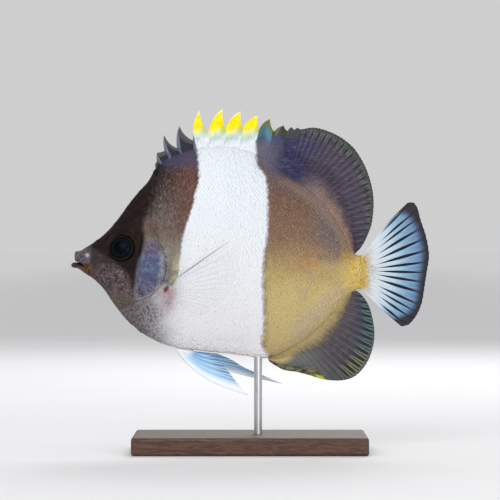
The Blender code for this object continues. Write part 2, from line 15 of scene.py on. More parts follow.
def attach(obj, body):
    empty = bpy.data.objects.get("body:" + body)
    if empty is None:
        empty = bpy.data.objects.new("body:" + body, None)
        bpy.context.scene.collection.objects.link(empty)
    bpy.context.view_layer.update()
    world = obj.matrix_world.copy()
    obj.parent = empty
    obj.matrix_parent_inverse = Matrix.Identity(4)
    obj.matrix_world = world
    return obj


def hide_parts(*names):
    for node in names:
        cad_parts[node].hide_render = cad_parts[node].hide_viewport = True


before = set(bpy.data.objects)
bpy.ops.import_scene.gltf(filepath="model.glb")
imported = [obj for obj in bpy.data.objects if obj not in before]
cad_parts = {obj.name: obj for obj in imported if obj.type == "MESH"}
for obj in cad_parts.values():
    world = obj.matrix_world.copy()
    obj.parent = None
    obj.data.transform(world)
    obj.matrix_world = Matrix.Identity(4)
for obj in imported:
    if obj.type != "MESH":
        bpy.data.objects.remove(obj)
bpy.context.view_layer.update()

# Driving dimensions, as the solids have them
TOTAL_LENGTH = 0.160
AXIS_HEIGHT = 0.090
MM = TOTAL_LENGTH / 160
COAT = 0.25  # depth of the scales, by which the skin lies inside the solids
CURVE_POINTS = 60  # on a curve from which distances are measured
SIDES = ((-1, "left"), (1, "right"))

BACK = ((-76.4, 0.0), (-73.5, 1.3), (-67.0, 5.6), (-61.6, 10.8), (-51.6, 24.0), (-45.4, 31.0),
        (-41.8, 37.0), (-37.9, 40.2), (-31.2, 43.3), (-22.3, 46.0), (-11.2, 46.6), (0.0, 44.4), (8.9, 39.7),
        (17.9, 33.9), (26.8, 27.4), (34.8, 19.4), (41.1, 9.4), (44.8, 0.6), (48.0, -2.5), (52.4, -2.8))
BELLY = ((-76.4, -9.2), (-73.7, -10.7), (-69.2, -13.6), (-64.3, -18.8), (-59.4, -26.2), (-54.0, -32.4),
         (-47.3, -37.7), (-36.6, -42.6), (-26.1, -44.6), (-12.5, -46.0), (-1.8, -47.3), (6.7, -48.3),
         (15.6, -45.5), (24.6, -40.2), (33.5, -32.6), (41.1, -23.6), (44.8, -19.4), (48.4, -17.5),
         (52.4, -17.3))
HALF_WIDTH = ((-76.4, 2.3), (-72.0, 3.8), (-64.0, 6.0), (-55.0, 8.4), (-44.0, 10.8), (-30.0, 12.2),
              (-12.0, 12.4), (5.0, 11.3), (20.0, 9.0), (34.0, 6.0), (45.0, 3.7), (48.8, 2.9), (52.4, 1.5))
UPPER_FULLNESS = 0.72
LOWER_FULLNESS = 0.55
GILL_LINE = ((-44.0, 41.0), (-44.3, 31.2), (-44.2, 20.1), (-44.2, 11.2), (-41.1, 4.5), (-38.4, -1.3),
             (-37.5, -8.0), (-38.8, -13.8), (-42.4, -18.8), (-47.8, -21.9), (-53.6, -24.1), (-64.0, -26.4))
COVER_FRONT = ((-47.9, -20.7), (-50.2, -18.0), (-50.8, -13.2), (-50.3, -7.4), (-49.3, -1.4), (-48.0, 4.4),
               (-46.6, 7.6))

EYE = (-57.0, 0.7)
EYE_OUT = 5.3
EYE_RADII = (5.95, 3.2, 5.75)
EYE_TURN = (math.radians(9), math.radians(13))
NOSTRILS = ((-65.6, 2.7), (-63.4, 3.9))

SPINE_ROOT_X = (-41.3, -39.3, -35.3, -30.8, -24.6, -17.4, -10.7, -4.0, 2.2, 7.6, 12.5, 16.0)
SPINE_TIPS = ((-42.3, 38.6), (-41.4, 43.6), (-38.3, 51.5), (-31.4, 55.6), (-22.5, 62.3), (-12.2, 63.0),
              (-4.1, 61.9), (3.4, 60.1), (8.9, 58.4), (15.1, 55.5), (18.7, 54.9), (21.4, 54.6))
SPINE_NOTCHES = ((-42.2, 36.6), (-41.6, 39.6), (-38.2, 44.4), (-32.6, 45.6), (-25.4, 49.0), (-18.6, 52.5),
                 (-10.7, 54.5), (-3.1, 54.4), (4.2, 54.0), (10.9, 52.9), (16.8, 53.1), (20.0, 53.6),
                 (22.8, 53.9))
SOFT_DORSAL = ((22.8, 53.9), (28.6, 54.7), (35.7, 52.8), (42.0, 49.4), (47.4, 44.3), (52.4, 35.1),
               (55.1, 24.0), (54.5, 12.5), (52.2, 5.9), (49.7, 1.3), (47.3, -1.3))
SOFT_DORSAL_BASE = (17.4, 46.3)
DORSAL_RAYS = 25
ANAL = ((8.6, -49.8), (12.0, -52.0), (15.4, -53.6), (20.5, -54.4), (26.8, -56.0), (33.0, -57.8),
        (40.2, -58.3), (46.0, -56.9), (50.8, -52.6), (54.2, -46.0), (55.6, -38.6), (54.9, -31.2),
        (52.9, -24.4), (50.2, -20.4), (48.0, -18.3))
ANAL_BASE = (7.6, 44.9)
ANAL_RAYS = 24
TAIL_MARGIN = ((70.4, 21.2), (73.0, 21.2), (74.8, 18.8), (76.2, 13.6), (78.2, 7.8), (79.5, 2.2),
               (80.0, -3.2), (79.0, -9.8), (77.9, -17.0), (76.8, -23.4), (74.6, -28.8), (71.0, -33.2),
               (67.6, -34.2))
TAIL_BASE = ((49.6, -3.0), (49.6, -17.4))
TAIL_BOW = (0.9, 0.35)  # above and below
# The dark gaps between the tail's rays, as (share of the margin, number of the gap)
TAIL_GAPS = ((0, -0.5), (0.029, 0), (0.099, 1), (0.153, 2), (0.226, 3), (0.306, 4), (0.391, 5),
             (0.476, 6), (0.552, 7), (0.622, 8), (0.698, 9), (0.787, 10), (0.842, 11), (0.898, 12),
             (0.961, 13), (1, 13.5))
PECTORAL_LOBE = (-36.3, -18.1)  # the fleshy root of the fin
PECTORAL_LOBE_RADII = (2.0, 4.4)
PECTORAL_BASE = ((-36.9, -14.6), (-35.3, -21.6))
PECTORAL_RAYS = 14
PECTORAL_LENGTH = (35.5, 13.5)
PECTORAL_ANGLE = (math.radians(35), math.radians(-36))
PECTORAL_SPLAY = math.radians(11)
PELVIC_BASE = ((-34.4, -43.4), (-25.0, -45.4))
PELVIC_MARGINS = {-1: ((-0.9, -64.2), (-5.6, -59.2), (-9.4, -54.2), (-14.0, -49.6), (-18.2, -46.6)),
                  1: ((14.6, -60.2), (6.4, -56.6), (-2.0, -53.0), (-8.6, -49.0), (-14.6, -46.4))}
PELVIC_BOW = {-1: 4.6, 1: 2.6}
PELVIC_RAYS = 6
PELVIC_Y = 2.7
PELVIC_SPLAY = math.radians(10)
PELVIC_LOBE_X = -30.4
PELVIC_LOBE_RADII = (4.6, 2.2)

# The room, in metres: the lights' places, sizes and watts
LIGHTS = (("key", (-0.35, -1.2, 0.75), 0.8, 7.0), ("fill", (0.45, -1.2, 0.16), 0.6, 4.0),
          ("rim", (0.2, 0.9, 0.8), 0.6, 5.0))
SKY_LIGHT = 0.62
CAMERA_DISTANCE = 1.2
VIEW_WIDTH = 0.2232


# Lines and profiles, on arrays of numbers

def ease(value, low, high):
    """0 below low, 1 above high, and a smooth rise between them."""
    t = np.clip((value - low) / (high - low), 0, 1)
    return t * t * (3 - 2 * t)


def bell(value, middle, width):
    """1 at the middle, and falling away to 0 on both sides."""
    return np.exp(-((value - middle) / width) ** 2)


def away_from(place, x, z, radii=(1, 1)):
    """Distance in the side view from a place, or from the middle of an oval, where its rim is at 1."""
    return np.hypot((x - place[0]) / radii[0], (z - place[1]) / radii[1])


def hermite(a, b, leave, arrive, t):
    return ((2 * t ** 3 - 3 * t ** 2 + 1) * a + (t ** 3 - 2 * t ** 2 + t) * leave
            + (3 * t ** 2 - 2 * t ** 3) * b + (t ** 3 - t ** 2) * arrive)


def smooth(points, x):
    """Height at x of a smooth line through points in order of x, which never swings past them."""
    px, pz = np.array(points, float).T
    steps = np.diff(px)
    slopes = np.diff(pz) / steps
    product = slopes[:-1] * slopes[1:]
    total = slopes[:-1] + slopes[1:]
    inner = np.where(product > 0, 2 * product / np.where(total == 0, 1, total), 0)
    tangent = np.concatenate([slopes[:1], inner, slopes[-1:]])
    x = np.clip(x, px[0], px[-1])
    i = np.clip(np.searchsorted(px, x, side="right") - 1, 0, len(steps) - 1)
    t = (x - px[i]) / steps[i]
    return hermite(pz[i], pz[i + 1], steps[i] * tangent[i], steps[i] * tangent[i + 1], t)


def along(points, t):
    """Points (x, z) at shares t of the length of a smooth curve through points."""
    spots = np.array(points, float)
    spans = np.linalg.norm(np.diff(spots, axis=0), axis=1)
    ends = np.concatenate([[0], np.cumsum(spans)])
    far = np.clip(t, 0, 1) * ends[-1]
    i = np.clip(np.searchsorted(ends, far, side="right") - 1, 0, len(spans) - 1)
    padded = np.vstack([2 * spots[0] - spots[1], spots, 2 * spots[-1] - spots[-2]])
    wide = np.concatenate([spans[:1], spans, spans[-1:]])
    a, b = padded[i + 1], padded[i + 2]
    leave = (b - padded[i]) * (spans[i] / (wide[i] + spans[i]))[:, None]
    arrive = (padded[i + 3] - a) * (spans[i] / (wide[i + 2] + spans[i]))[:, None]
    s = ((far - ends[i]) / spans[i])[:, None]
    return hermite(a, b, leave, arrive, s)


def beside(points, x, z):
    """Signed distance in the side view from a curve: above 0 on the left of its own direction."""
    line = along(points, np.linspace(0, 1, CURVE_POINTS))
    nearest = np.full(len(x), 1e9)
    signed = np.zeros(len(x))
    for (ax, az), (bx, bz) in zip(line, line[1:]):
        dx, dz = bx - ax, bz - az
        t = np.clip(((x - ax) * dx + (z - az) * dz) / (dx * dx + dz * dz), 0, 1)
        away = np.hypot(x - ax - t * dx, z - az - t * dz)
        side = np.where(dx * (z - az) - dz * (x - ax) > 0, 1, -1)
        closer = away < nearest
        nearest = np.where(closer, away, nearest)
        signed = np.where(closer, away * side, signed)
    return signed


def unit(vectors):
    return vectors / (np.linalg.norm(vectors, axis=1)[:, None] + 1e-12)


def back(x):
    return smooth(BACK, x)


def belly(x):
    return smooth(BELLY, x)


def flank(x, turn):
    """Points of the body's side. turn is the angle round the section, a quarter turn at the back."""
    top, low = back(x) - COAT, belly(x) + COAT
    z = (top + low) / 2 + np.sin(turn) * (top - low) / 2
    upper = np.sin(turn) > 0
    ridge = np.where(upper, 0.65 * ease(x, -49, -43), 0.65 * ease(x, 0, 7))
    fullness = np.where(upper, UPPER_FULLNESS, LOWER_FULLNESS)
    widest = smooth(HALF_WIDTH, x) - COAT
    y = ridge + (widest - ridge) * np.abs(np.cos(turn)) ** (2 * fullness)
    return np.stack([x, np.sign(np.cos(turn)) * y, z], axis=1)


# Meshes

def to_frame(points):
    """Millimetres from the fish's middle line to the frame's metres."""
    return points * MM + np.array([0, 0, AXIS_HEIGHT])


def read_points(mesh):
    flat = np.zeros(len(mesh.vertices) * 3)
    mesh.vertices.foreach_get("co", flat)
    return flat.reshape(-1, 3)


def write_points(mesh, points):
    mesh.vertices.foreach_set("co", np.ascontiguousarray(points, dtype=np.float32).ravel())
    mesh.update()


def read_normals(mesh):
    flat = np.zeros(len(mesh.vertices) * 3)
    mesh.vertex_normals.foreach_get("vector", flat)
    return flat.reshape(-1, 3)


def put_in_order(elements, key):
    for number, element in enumerate(sorted(elements, key=key)):
        element.index = number
    elements.sort()


def new_mesh(shape, name):
    """A mesh from a modelled shape, its points and faces in an order that is the same in every run."""
    put_in_order(shape.verts, lambda point: tuple(point.co))
    put_in_order(shape.faces, lambda face: sorted(point.index for point in face.verts))
    mesh = bpy.data.meshes.new(name)
    shape.to_mesh(mesh)
    shape.free()
    return mesh


def face_outwards(mesh):
    shape = bmesh.new()
    shape.from_mesh(mesh)
    bmesh.ops.recalc_face_normals(shape, faces=shape.faces)
    shape.to_mesh(mesh)
    shape.free()


def point_value(mesh, name, values):
    """A number for each point of a mesh, which its material can read."""
    layer = mesh.attributes.new(name, "FLOAT", "POINT")
    layer.data.foreach_set("value", np.ascontiguousarray(values, dtype=np.float32))


def uv_map(mesh, name, values):
    """A UV map from a pair of numbers for each point of a mesh."""
    corners = np.zeros(len(mesh.loops), dtype=np.int32)
    mesh.loops.foreach_get("vertex_index", corners)
    layer = mesh.uv_layers.new(name=name)
    layer.uv.foreach_set("vector", values[corners].astype(np.float32).ravel())


def show(name, mesh, material, slot, *nodes):
    """Put a finished mesh in the scene, riding on the fish, in place of the solids that are named."""
    mesh.materials.append(material)
    mesh.shade_smooth()
    piece = bpy.data.objects.new(name, mesh)
    bpy.context.scene.collection.objects.link(piece)
    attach(piece, "root")
    if nodes:
        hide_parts(*nodes)
    return piece


def unit_sheet(name, columns, rows):
    """A flat closed sheet one unit wide and high, with the shares u and v and the side of its points."""
    shape = bmesh.new()
    bmesh.ops.create_grid(shape, x_segments=columns, y_segments=rows, size=0.5)
    bmesh.ops.solidify(shape, geom=shape.faces[:], thickness=0.1)
    mesh = new_mesh(shape, name)
    points = read_points(mesh)
    side = np.where(points[:, 2] > points[:, 2].mean(), 1.0, -1.0)
    return mesh, points[:, 0] + 0.5, points[:, 1] + 0.5, side


def fin_mesh(name, columns, rows, surface, half):
    """A fin: surface gives its middle points and half its thickness at shares u and v."""
    mesh, u, v, side = unit_sheet(name, columns, rows)
    step = 0.002  # share of the fin
    run = surface(np.clip(u + step, 0, 1), v) - surface(np.clip(u - step, 0, 1), v)
    climb = surface(u, np.clip(v + step, 0, 1)) - surface(u, np.clip(v - step, 0, 1))
    facing = np.cross(climb, run)
    points = surface(u, v) + unit(facing) * (side * half(u, v))[:, None]
    write_points(mesh, to_frame(points))
    uv_map(mesh, "fin", np.stack([u, v], axis=1))
    face_outwards(mesh)
    return mesh


# Body

SEGMENTS = 224
MOUTH_RINGS = 7
LIP_RINGS = 21
SNOUT_RINGS = 33
HEAD_RINGS = 125
TRUNK_RINGS = 205
STALK_RINGS = 215
RINGS = 221
SNOUT_X, HEAD_X, TRUNK_X, STALK_X = -73.0, -35.0, 46.0, 52.3
SNOUT_LEAN = 2.2  # how far the first ring of the snout leans back at the sides
LEAN_RINGS = 16
MOUTH_HEART = np.array([-74.6, 0.0, -5.6])
MOUTH_CORNER = (-72.8, 3.3, -7.6)
UPPER_LIP = (-76.8, -2.85, 1.5, 2.4, 0.62)  # x, z, reach forward, reach up, bluntness
LOWER_LIP = (-78.3, -6.75, 1.55, 1.25, 1.1)
CORNER_LIP = 0.6
LIP_ROLL = math.radians(95)


def lips(turn, roll):
    """Points on the rolled lips. roll is the angle from the lips' front, below 0 inside the mouth."""
    upper = np.sin(turn) > 0
    front = np.abs(np.sin(turn))
    corner_x, corner_y, corner_z = MOUTH_CORNER

    def each(k):
        return np.where(upper, UPPER_LIP[k], LOWER_LIP[k])

    x = corner_x + (each(0) - corner_x) * front ** 0.9
    z = corner_z + (each(1) - corner_z) * front
    reach = CORNER_LIP + (each(2) - CORNER_LIP) * front
    out = CORNER_LIP + (each(3) - CORNER_LIP) * front
    y = corner_y * np.cos(turn) * (1 - 0.12 * front)
    power = 1 + (each(4) - 1) * front
    ahead = np.sign(np.cos(roll)) * np.abs(np.cos(roll)) ** power
    aside = np.sign(np.sin(roll)) * np.abs(np.sin(roll)) ** power
    return np.stack([x - reach * ahead,
                     y + out * aside * np.cos(turn),
                     z + out * aside * np.sin(turn)], axis=1)


def body_points(ring, turn):
    """Points of the skin: in the mouth, over the lips, along the snout and the body to the tail."""
    points = np.zeros((len(ring), 3))

    inside = ring <= MOUTH_RINGS
    t = (ring[inside] / MOUTH_RINGS)[:, None]
    rim = lips(turn[inside], np.full(inside.sum(), -LIP_ROLL))
    points[inside] = MOUTH_HEART + (rim - MOUTH_HEART) * t

    lip = (ring > MOUTH_RINGS) & (ring <= LIP_RINGS)
    t = (ring[lip] - MOUTH_RINGS) / (LIP_RINGS - MOUTH_RINGS)
    points[lip] = lips(turn[lip], LIP_ROLL * (2 * t - 1))

    def body_x(ring, turn):
        x = np.interp(ring, (SNOUT_RINGS, HEAD_RINGS, TRUNK_RINGS, STALK_RINGS),
                      (SNOUT_X, HEAD_X, TRUNK_X, STALK_X))
        fade = np.clip(1 - (ring - SNOUT_RINGS) / LEAN_RINGS, 0, 1)
        return x + SNOUT_LEAN * np.cos(turn) ** 2 * fade ** 2

    snout = (ring > LIP_RINGS) & (ring < SNOUT_RINGS)
    t = ((ring[snout] - LIP_RINGS) / (SNOUT_RINGS - LIP_RINGS))[:, None]
    around = turn[snout]
    first = lips(around, np.full(len(around), LIP_ROLL))
    start = np.full(len(around), float(SNOUT_RINGS))
    last = flank(body_x(start, around), around)
    ahead = flank(body_x(start + 1, around), around)
    span = np.linalg.norm(last - first, axis=1)[:, None]
    leave = np.array([1.0, 0, 0]) * span
    arrive = (ahead - last) / np.linalg.norm(ahead - last, axis=1)[:, None] * span
    points[snout] = hermite(first, last, leave, arrive, t)

    body = ring >= SNOUT_RINGS
    points[body] = flank(body_x(ring[body], turn[body]), turn[body])

    cap = ring > STALK_RINGS
    shrink = ((RINGS - ring[cap]) / (RINGS - STALK_RINGS))[:, None]
    heart = np.array([STALK_X, 0, float(back(STALK_X) + belly(STALK_X)) / 2])
    points[cap] = heart + (points[cap] - heart) * shrink
    return points


def skin_lift(points):
    """How far the skin stands out from the plain body, over the bones and folds of the head."""
    x, y, z = points.T
    away = away_from(EYE, x, z)
    lift = -2.6 * (1 - ease(away, 4.9, 6.0))
    lift += 0.38 * bell(away, 6.6, 0.55)
    lift += 0.18 * bell(away, 8.6, 0.9)
    to_gill = beside(GILL_LINE, x, z)
    to_cheek = beside(COVER_FRONT, x, z)
    tall = ease(z, -25.5, -21.0) * (1 - ease(z, 9.0, 14.0))
    lift += 0.40 * tall * ease(-to_gill, -0.05, 0.35) * np.exp(-np.maximum(-to_gill, 0) / 6.0)
    lift -= 0.45 * tall * bell(to_gill, 0.35, 0.40)
    lift -= 0.30 * bell(to_cheek, 0, 0.45) * (1 - ease(z, 5.0, 8.5))
    for nostril in NOSTRILS:
        near = away_from(nostril, x, z)
        lift -= 0.75 * (1 - ease(near, 0.25, 0.62))
        lift += 0.16 * bell(near, 0.85, 0.22)
    lobe = away_from(PECTORAL_LOBE, x, z, PECTORAL_LOBE_RADII)
    lift += 1.15 * np.exp(-lobe ** 3)
    lobe = away_from((PELVIC_LOBE_X, PELVIC_Y), x, np.abs(y), PELVIC_LOBE_RADII)
    lift += 0.9 * np.exp(-lobe ** 3) * (z < -38)  # on the belly alone
    return lift


def make_skin(material):
    shape = bmesh.new()
    bmesh.ops.create_uvsphere(shape, u_segments=SEGMENTS, v_segments=RINGS, radius=1)
    turn = Matrix.Rotation(math.pi / SEGMENTS, 3, "X") @ Matrix.Rotation(-math.pi / 2, 3, "Y")
    bmesh.ops.rotate(shape, matrix=turn, verts=shape.verts)
    mesh = new_mesh(shape, "skin")
    ball = read_points(mesh)
    ring = np.round(np.arccos(np.clip(-ball[:, 0], -1, 1)) / math.pi * RINGS)
    around = np.arctan2(ball[:, 2], ball[:, 1])
    points = body_points(ring, around)
    write_points(mesh, points)
    face_outwards(mesh)
    lift = skin_lift(points) * ease(points[:, 0], -74.0, -70.0)  # not on the lips
    write_points(mesh, to_frame(points + read_normals(mesh) * lift[:, None]))
    # The inside of the mouth, which the skin's material paints near black as painted shade
    point_value(mesh, "mouth", 1 - ease(ring, MOUTH_RINGS - 1, MOUTH_RINGS + 4))
    return show("skin", mesh, material, "body_skin", "head", "lower_jaw", "gill_cover_left",
                "gill_cover_right", "trunk", "tail_stalk")


# Scales

SCALE_SIDES = 10
TRUNK_SCALE = (1.42, 0.80, 1.08)  # from scale to scale along a row, from row to row, and the radius
HEAD_SCALE = (0.98, 0.58, 0.74)
FIN_SCALE = (0.95, 0.60, 0.58)
MIDDLE_ROW = -5.0  # height from which the rows are counted up and down
ROW_SHIFTS = 5  # each row begins two fifths of a scale nearer the head than the one below
BARE_EDGE = 0.5  # along the back and the belly
BARE_FIN_EDGE = 0.7
SIZE_SPREAD, SIZE_LIMITS = 0.10, (0.75, 1.25)
WANDER = 0.2  # of a scale from its place, in radii
BREADTH = 0.92
TILT = 0.045
COAT_PIECE = 5200  # scales in one mesh
PATCH = 0.003  # width of a scale's patch in its map


def one_scale():
    """A low round plate, its rear end at +X."""
    shape = bmesh.new()
    bmesh.ops.create_cone(shape, cap_ends=True, segments=SCALE_SIDES, radius1=1.0, radius2=0.62, depth=1.0)
    return new_mesh(shape, "scale")


def body_lattice(pitch, row_step):
    """Places on the plain body for scales in rows along it, each row shifted from the one below."""
    turns = np.linspace(-math.pi / 2, math.pi / 2, 181)
    roots = []
    for column in range(int((STALK_X - SNOUT_X) / (pitch / ROW_SHIFTS)) + 1):
        x = SNOUT_X + column * pitch / ROW_SHIFTS
        section = flank(np.full(len(turns), x), turns)
        length = np.concatenate([[0], np.cumsum(np.linalg.norm(np.diff(section, axis=0), axis=1))])
        origin = np.interp(MIDDLE_ROW, section[:, 2], length)
        first = math.ceil((BARE_EDGE - origin) / row_step)
        last = math.floor((length[-1] - BARE_EDGE - origin) / row_step)
        for row in range(first, last + 1):
            if (2 * row + column) % ROW_SHIFTS == 0:
                turn = np.interp(origin + row * row_step, length, turns)
                roots.append((x, turn))
    x, turn = np.array(roots).T
    left = flank(x, turn)
    right = left * np.array([1, -1, 1])
    return np.vstack([left, right])


def on_skin(skin, roots):
    """Where the roots lie on the finished skin, what they face, and the way to the tail there."""
    tree = BVHTree.FromObject(skin, bpy.context.evaluated_depsgraph_get())
    found = [tree.find_nearest(Vector(p)) for p in to_frame(roots)]
    places = np.array([f[0] for f in found])
    facing = np.array([f[1] for f in found])
    tail = unit(np.array([1.0, 0, 0]) - facing * facing[:, :1])
    return places, facing, tail


def on_fin(surface, half, reach, rng):
    """The same for scales in rows across the foot of a fin, and their shares u and v of the fin."""
    pitch, row_step = FIN_SCALE[:2]
    u = np.linspace(0, 1, 400)
    length = np.linalg.norm(surface(u, 0 * u + 1) - surface(u, 0 * u), axis=1).mean()
    shares = []
    for row in range(1, int(length / row_step)):
        v = row * row_step / length
        line = surface(u, 0 * u + v)
        along_row = np.concatenate([[0], np.cumsum(np.linalg.norm(np.diff(line, axis=0), axis=1))])
        spots = np.arange(BARE_FIN_EDGE + (row % 2) * pitch / 2, along_row[-1] - BARE_FIN_EDGE, pitch)
        found = np.interp(spots, along_row, u)
        shares += [(share, v) for share in found[v < reach(found) * rng.uniform(0.85, 1.0, len(found))]]
    u, v = np.array(shares).T
    middle = surface(u, v)
    outward = unit(surface(u, v + 0.01) - middle)
    facing = unit(np.cross(surface(u, v + 0.01) - middle, surface(u + 0.002, v) - surface(u - 0.002, v)))
    places, turned, tails = [], [], []
    for side in (-1, 1):
        places.append(to_frame(middle + facing * (side * half(u, v))[:, None]))
        turned.append(facing * side)
        tails.append(outward)
    return np.vstack(places), np.vstack(turned), np.vstack(tails), np.tile(np.stack([u, v], axis=1), (2, 1))


def patches(roots, plate):
    """Each scale's own patch of its map, laid out as the fish unrolled: its length along the map, its
    girth up it, and the left and right side apart."""
    x = roots[:, 0] / MM
    z = (roots[:, 2] - AXIS_HEIGHT) / MM
    middle = (back(x) + belly(x)) / 2
    reach = (back(x) - belly(x)) / 2
    share = (z - middle) / reach
    over = np.where(np.abs(share) > 1, z - middle - np.sign(share) * reach, 0)
    girth = np.arcsin(np.clip(share, -1, 1)) * reach * 0.62 + over
    spots = np.stack([(x + 80) / 160, 0.25 + girth / 260 + (roots[:, 1] > 0) * 0.5], axis=1)
    return (spots[:, None] + plate[None, :, :2] * PATCH / 2).reshape(-1, 2)


def lay_scales(name, laid, radius, rng, material, slot, shares=None):
    """Scales flat on what they face, each with its rear end lifted a little, joined in a few meshes."""
    places, facing, tail = laid
    across = np.cross(facing, tail)
    one = one_scale()
    plate = read_points(one)
    faces = [tuple(p.vertices) for p in one.polygons]
    sizes = np.array([len(f) for f in faces])
    corners = np.concatenate([np.array(f) for f in faces])
    grown = radius * (1 + SIZE_SPREAD * rng.standard_normal(len(places))).clip(*SIZE_LIMITS)
    tint = rng.uniform(-1, 1, len(places))
    wander = rng.uniform(-WANDER, WANDER, (2, len(places), 1)) * radius
    a = plate[None, :, 0] * grown[:, None] + 0.12 * radius + wander[0]
    b = plate[None, :, 1] * grown[:, None] * BREADTH + wander[1]
    h = (plate[None, :, 2] + 0.5) * (0.03 + 0.03 * radius) + 0.02 + TILT * a
    points = places[:, None, :] + MM * (a[..., None] * tail[:, None] + b[..., None] * across[:, None]
                                        + h[..., None] * facing[:, None])
    for number, start in enumerate(range(0, len(points), COAT_PIECE)):
        some = slice(start, start + COAT_PIECE)
        count, verts = len(points[some]), len(plate)
        joined = bpy.data.meshes.new(f"{name}_{number + 1}")
        joined.vertices.add(count * verts)
        joined.loops.add(count * len(corners))
        joined.polygons.add(count * len(faces))
        joined.vertices.foreach_set("co", points[some].astype(np.float32).ravel())
        shift = np.repeat(np.arange(count) * verts, len(corners))
        joined.loops.foreach_set("vertex_index", np.tile(corners, count) + shift)
        totals = np.tile(sizes, count)
        joined.polygons.foreach_set("loop_start", np.concatenate([[0], np.cumsum(totals)[:-1]]))
        joined.update(calc_edges=True)
        point_value(joined, "tint", np.repeat(tint[some], verts))
        point_value(joined, "rim", np.tile(np.where(plate[:, 2] < 0, 1.0, 0.15), count))
        uv_map(joined, "OFBake", patches(places[some], plate))
        if shares is not None:
            uv_map(joined, "fin", np.repeat(shares[some], verts, axis=0))
        show(f"{name}_{number + 1}", joined, material, slot)


def make_coat(skin, material, rng):
    trunk = body_lattice(*TRUNK_SCALE[:2])
    x, z = trunk[:, 0], trunk[:, 2]
    lobe = away_from(PECTORAL_LOBE, x, z, PECTORAL_LOBE_RADII)
    trunk = trunk[(beside(GILL_LINE, x, z) > 0.7) & (lobe > 0.9) & (x < 52.0)]
    head = body_lattice(*HEAD_SCALE[:2])
    x, z = head[:, 0], head[:, 2]
    eye = away_from(EYE, x, z)
    nostril = np.minimum.reduce([away_from(place, x, z) for place in NOSTRILS])
    lips_end = -70.5 + 0.12 * np.abs(z + 4)
    head = head[(beside(GILL_LINE, x, z) < -0.3) & (eye > 6.7) & (nostril > 1.3) & (x > lips_end)]
    lay_scales("scales_trunk", on_skin(skin, trunk), TRUNK_SCALE[2], rng, material, "body_skin")
    lay_scales("scales_head", on_skin(skin, head), HEAD_SCALE[2], rng, material, "head_skin")


def scale_fin(name, surface, half, reach, rng, material, slot):
    *laid, shares = on_fin(surface, half, reach, rng)
    lay_scales(name, laid, FIN_SCALE[2], rng, material, slot, shares)


# Fins

FOOT_REACH = 0.4  # share of a fin's height over which it thins out
FORK_SPREAD = 0.23  # how far a ray's branches part, in rays
FORK_END = 1.1


def between(first, last, share):
    return first + (last - first) * share


def upright(pairs):
    """Points (x, z) as points in the middle plane."""
    return np.stack([pairs[:, 0], np.zeros(len(pairs)), pairs[:, 1]], axis=1)


def fin_foot(v, foot, membrane):
    """Half the thickness, which falls from that of the foot to that of the membrane."""
    return membrane + (foot - membrane) * np.maximum(0, 1 - v / FOOT_REACH) ** 2


def ray_ridge(index, v, first_fork=0.3):
    """1 on a ray and 0 between the rays. index counts the rays, which fork once on their way out."""
    off = np.abs(index % 1 - 0.5)
    off = np.abs(off - FORK_SPREAD * ease(v, first_fork, FORK_END))
    return bell(off, 0, 0.15 - 0.06 * v)


def soft_fin(name, index, base, margin, material, slot, node, columns, foot=1.25, ridge=0.26,
             bow=(0, 0)):
    """A fin of soft rays, with its surface and half its thickness for the scales on its foot. foot is
    half its thickness there, ridge the height of its rays and bow how far its edges curve."""
    def surface(u, v):
        low = base(u)
        top = upright(margin(u))
        reach = v * (1 - 0.005 * (1 - ray_ridge(index(u), v)) * (v > 0.9))
        run = unit(top - low)
        side = np.stack([-run[:, 2], 0 * u, run[:, 0]], axis=1)
        bulge = between(*bow, u) * (1 - 2 * u) * np.sin(math.pi * v)
        return between(low, top, reach[:, None]) + side * bulge[:, None]

    def half(u, v):
        ray = ray_ridge(index(u), v) * ridge * np.minimum(1, v / 0.15) * (1 - 0.6 * v)
        return fin_foot(v, foot, 0.14) + ray

    show(name, fin_mesh(name, columns, 44, surface, half), material, slot, node)
    return surface, half


def on_ridge(line, sink):
    """Places of a fin's foot along the back or the belly, sunk in the skin."""
    def base(x):
        return np.stack([x, 0 * x, line(x) - sink], axis=1)
    return base


def make_spiny_dorsal(material):
    tips = np.array(SPINE_TIPS)
    notches = np.array(SPINE_NOTCHES)
    roots = np.array(SPINE_ROOT_X)
    count = len(tips)
    front_share = 0.4  # of a spine's step, taken up by its shaft and rising to its tip
    knots = np.sort(np.concatenate([np.arange(count), np.arange(count) + front_share, [count]]))
    foot_x = np.concatenate([np.stack([roots - 0.5, roots + 0.4], axis=1).ravel(), [SOFT_DORSAL_BASE[0]]])
    foot = on_ridge(back, 1.0)

    def margin(u):
        s = np.clip(u * count, 0, count - 1e-6)
        i = s.astype(int)
        f = s - i
        rising = f < front_share
        start = np.where(rising[:, None], notches[i], tips[i])
        end = np.where(rising[:, None], tips[i], notches[i + 1])
        t = np.where(rising, f / front_share, (f - front_share) / (1 - front_share))[:, None]
        size = np.linalg.norm(end - start, axis=1)[:, None]
        push = np.where(rising[:, None], np.array([-0.15, 0.15]), np.array([-0.16, -0.16])) * size
        bend = (start + end) / 2 + push
        return (1 - t) ** 2 * start + 2 * t * (1 - t) * bend + t ** 2 * end

    def surface(u, v):
        return between(foot(np.interp(u * count, knots, foot_x)), upright(margin(u)), v[:, None])

    def half(u, v):
        f = (u * count) % 1
        spine = np.sqrt(np.clip(1 - ((f - front_share / 2) / (front_share / 2)) ** 2, 0, 1))
        return fin_foot(v, 1.15, 0.13) + spine * (0.46 * (1 - 0.72 * v))

    show("spiny_dorsal_fin", fin_mesh("spiny_dorsal_fin", count * 20, 36, surface, half), material,
         "spiny_fin", "dorsal_fin_spiny")
    return surface, half


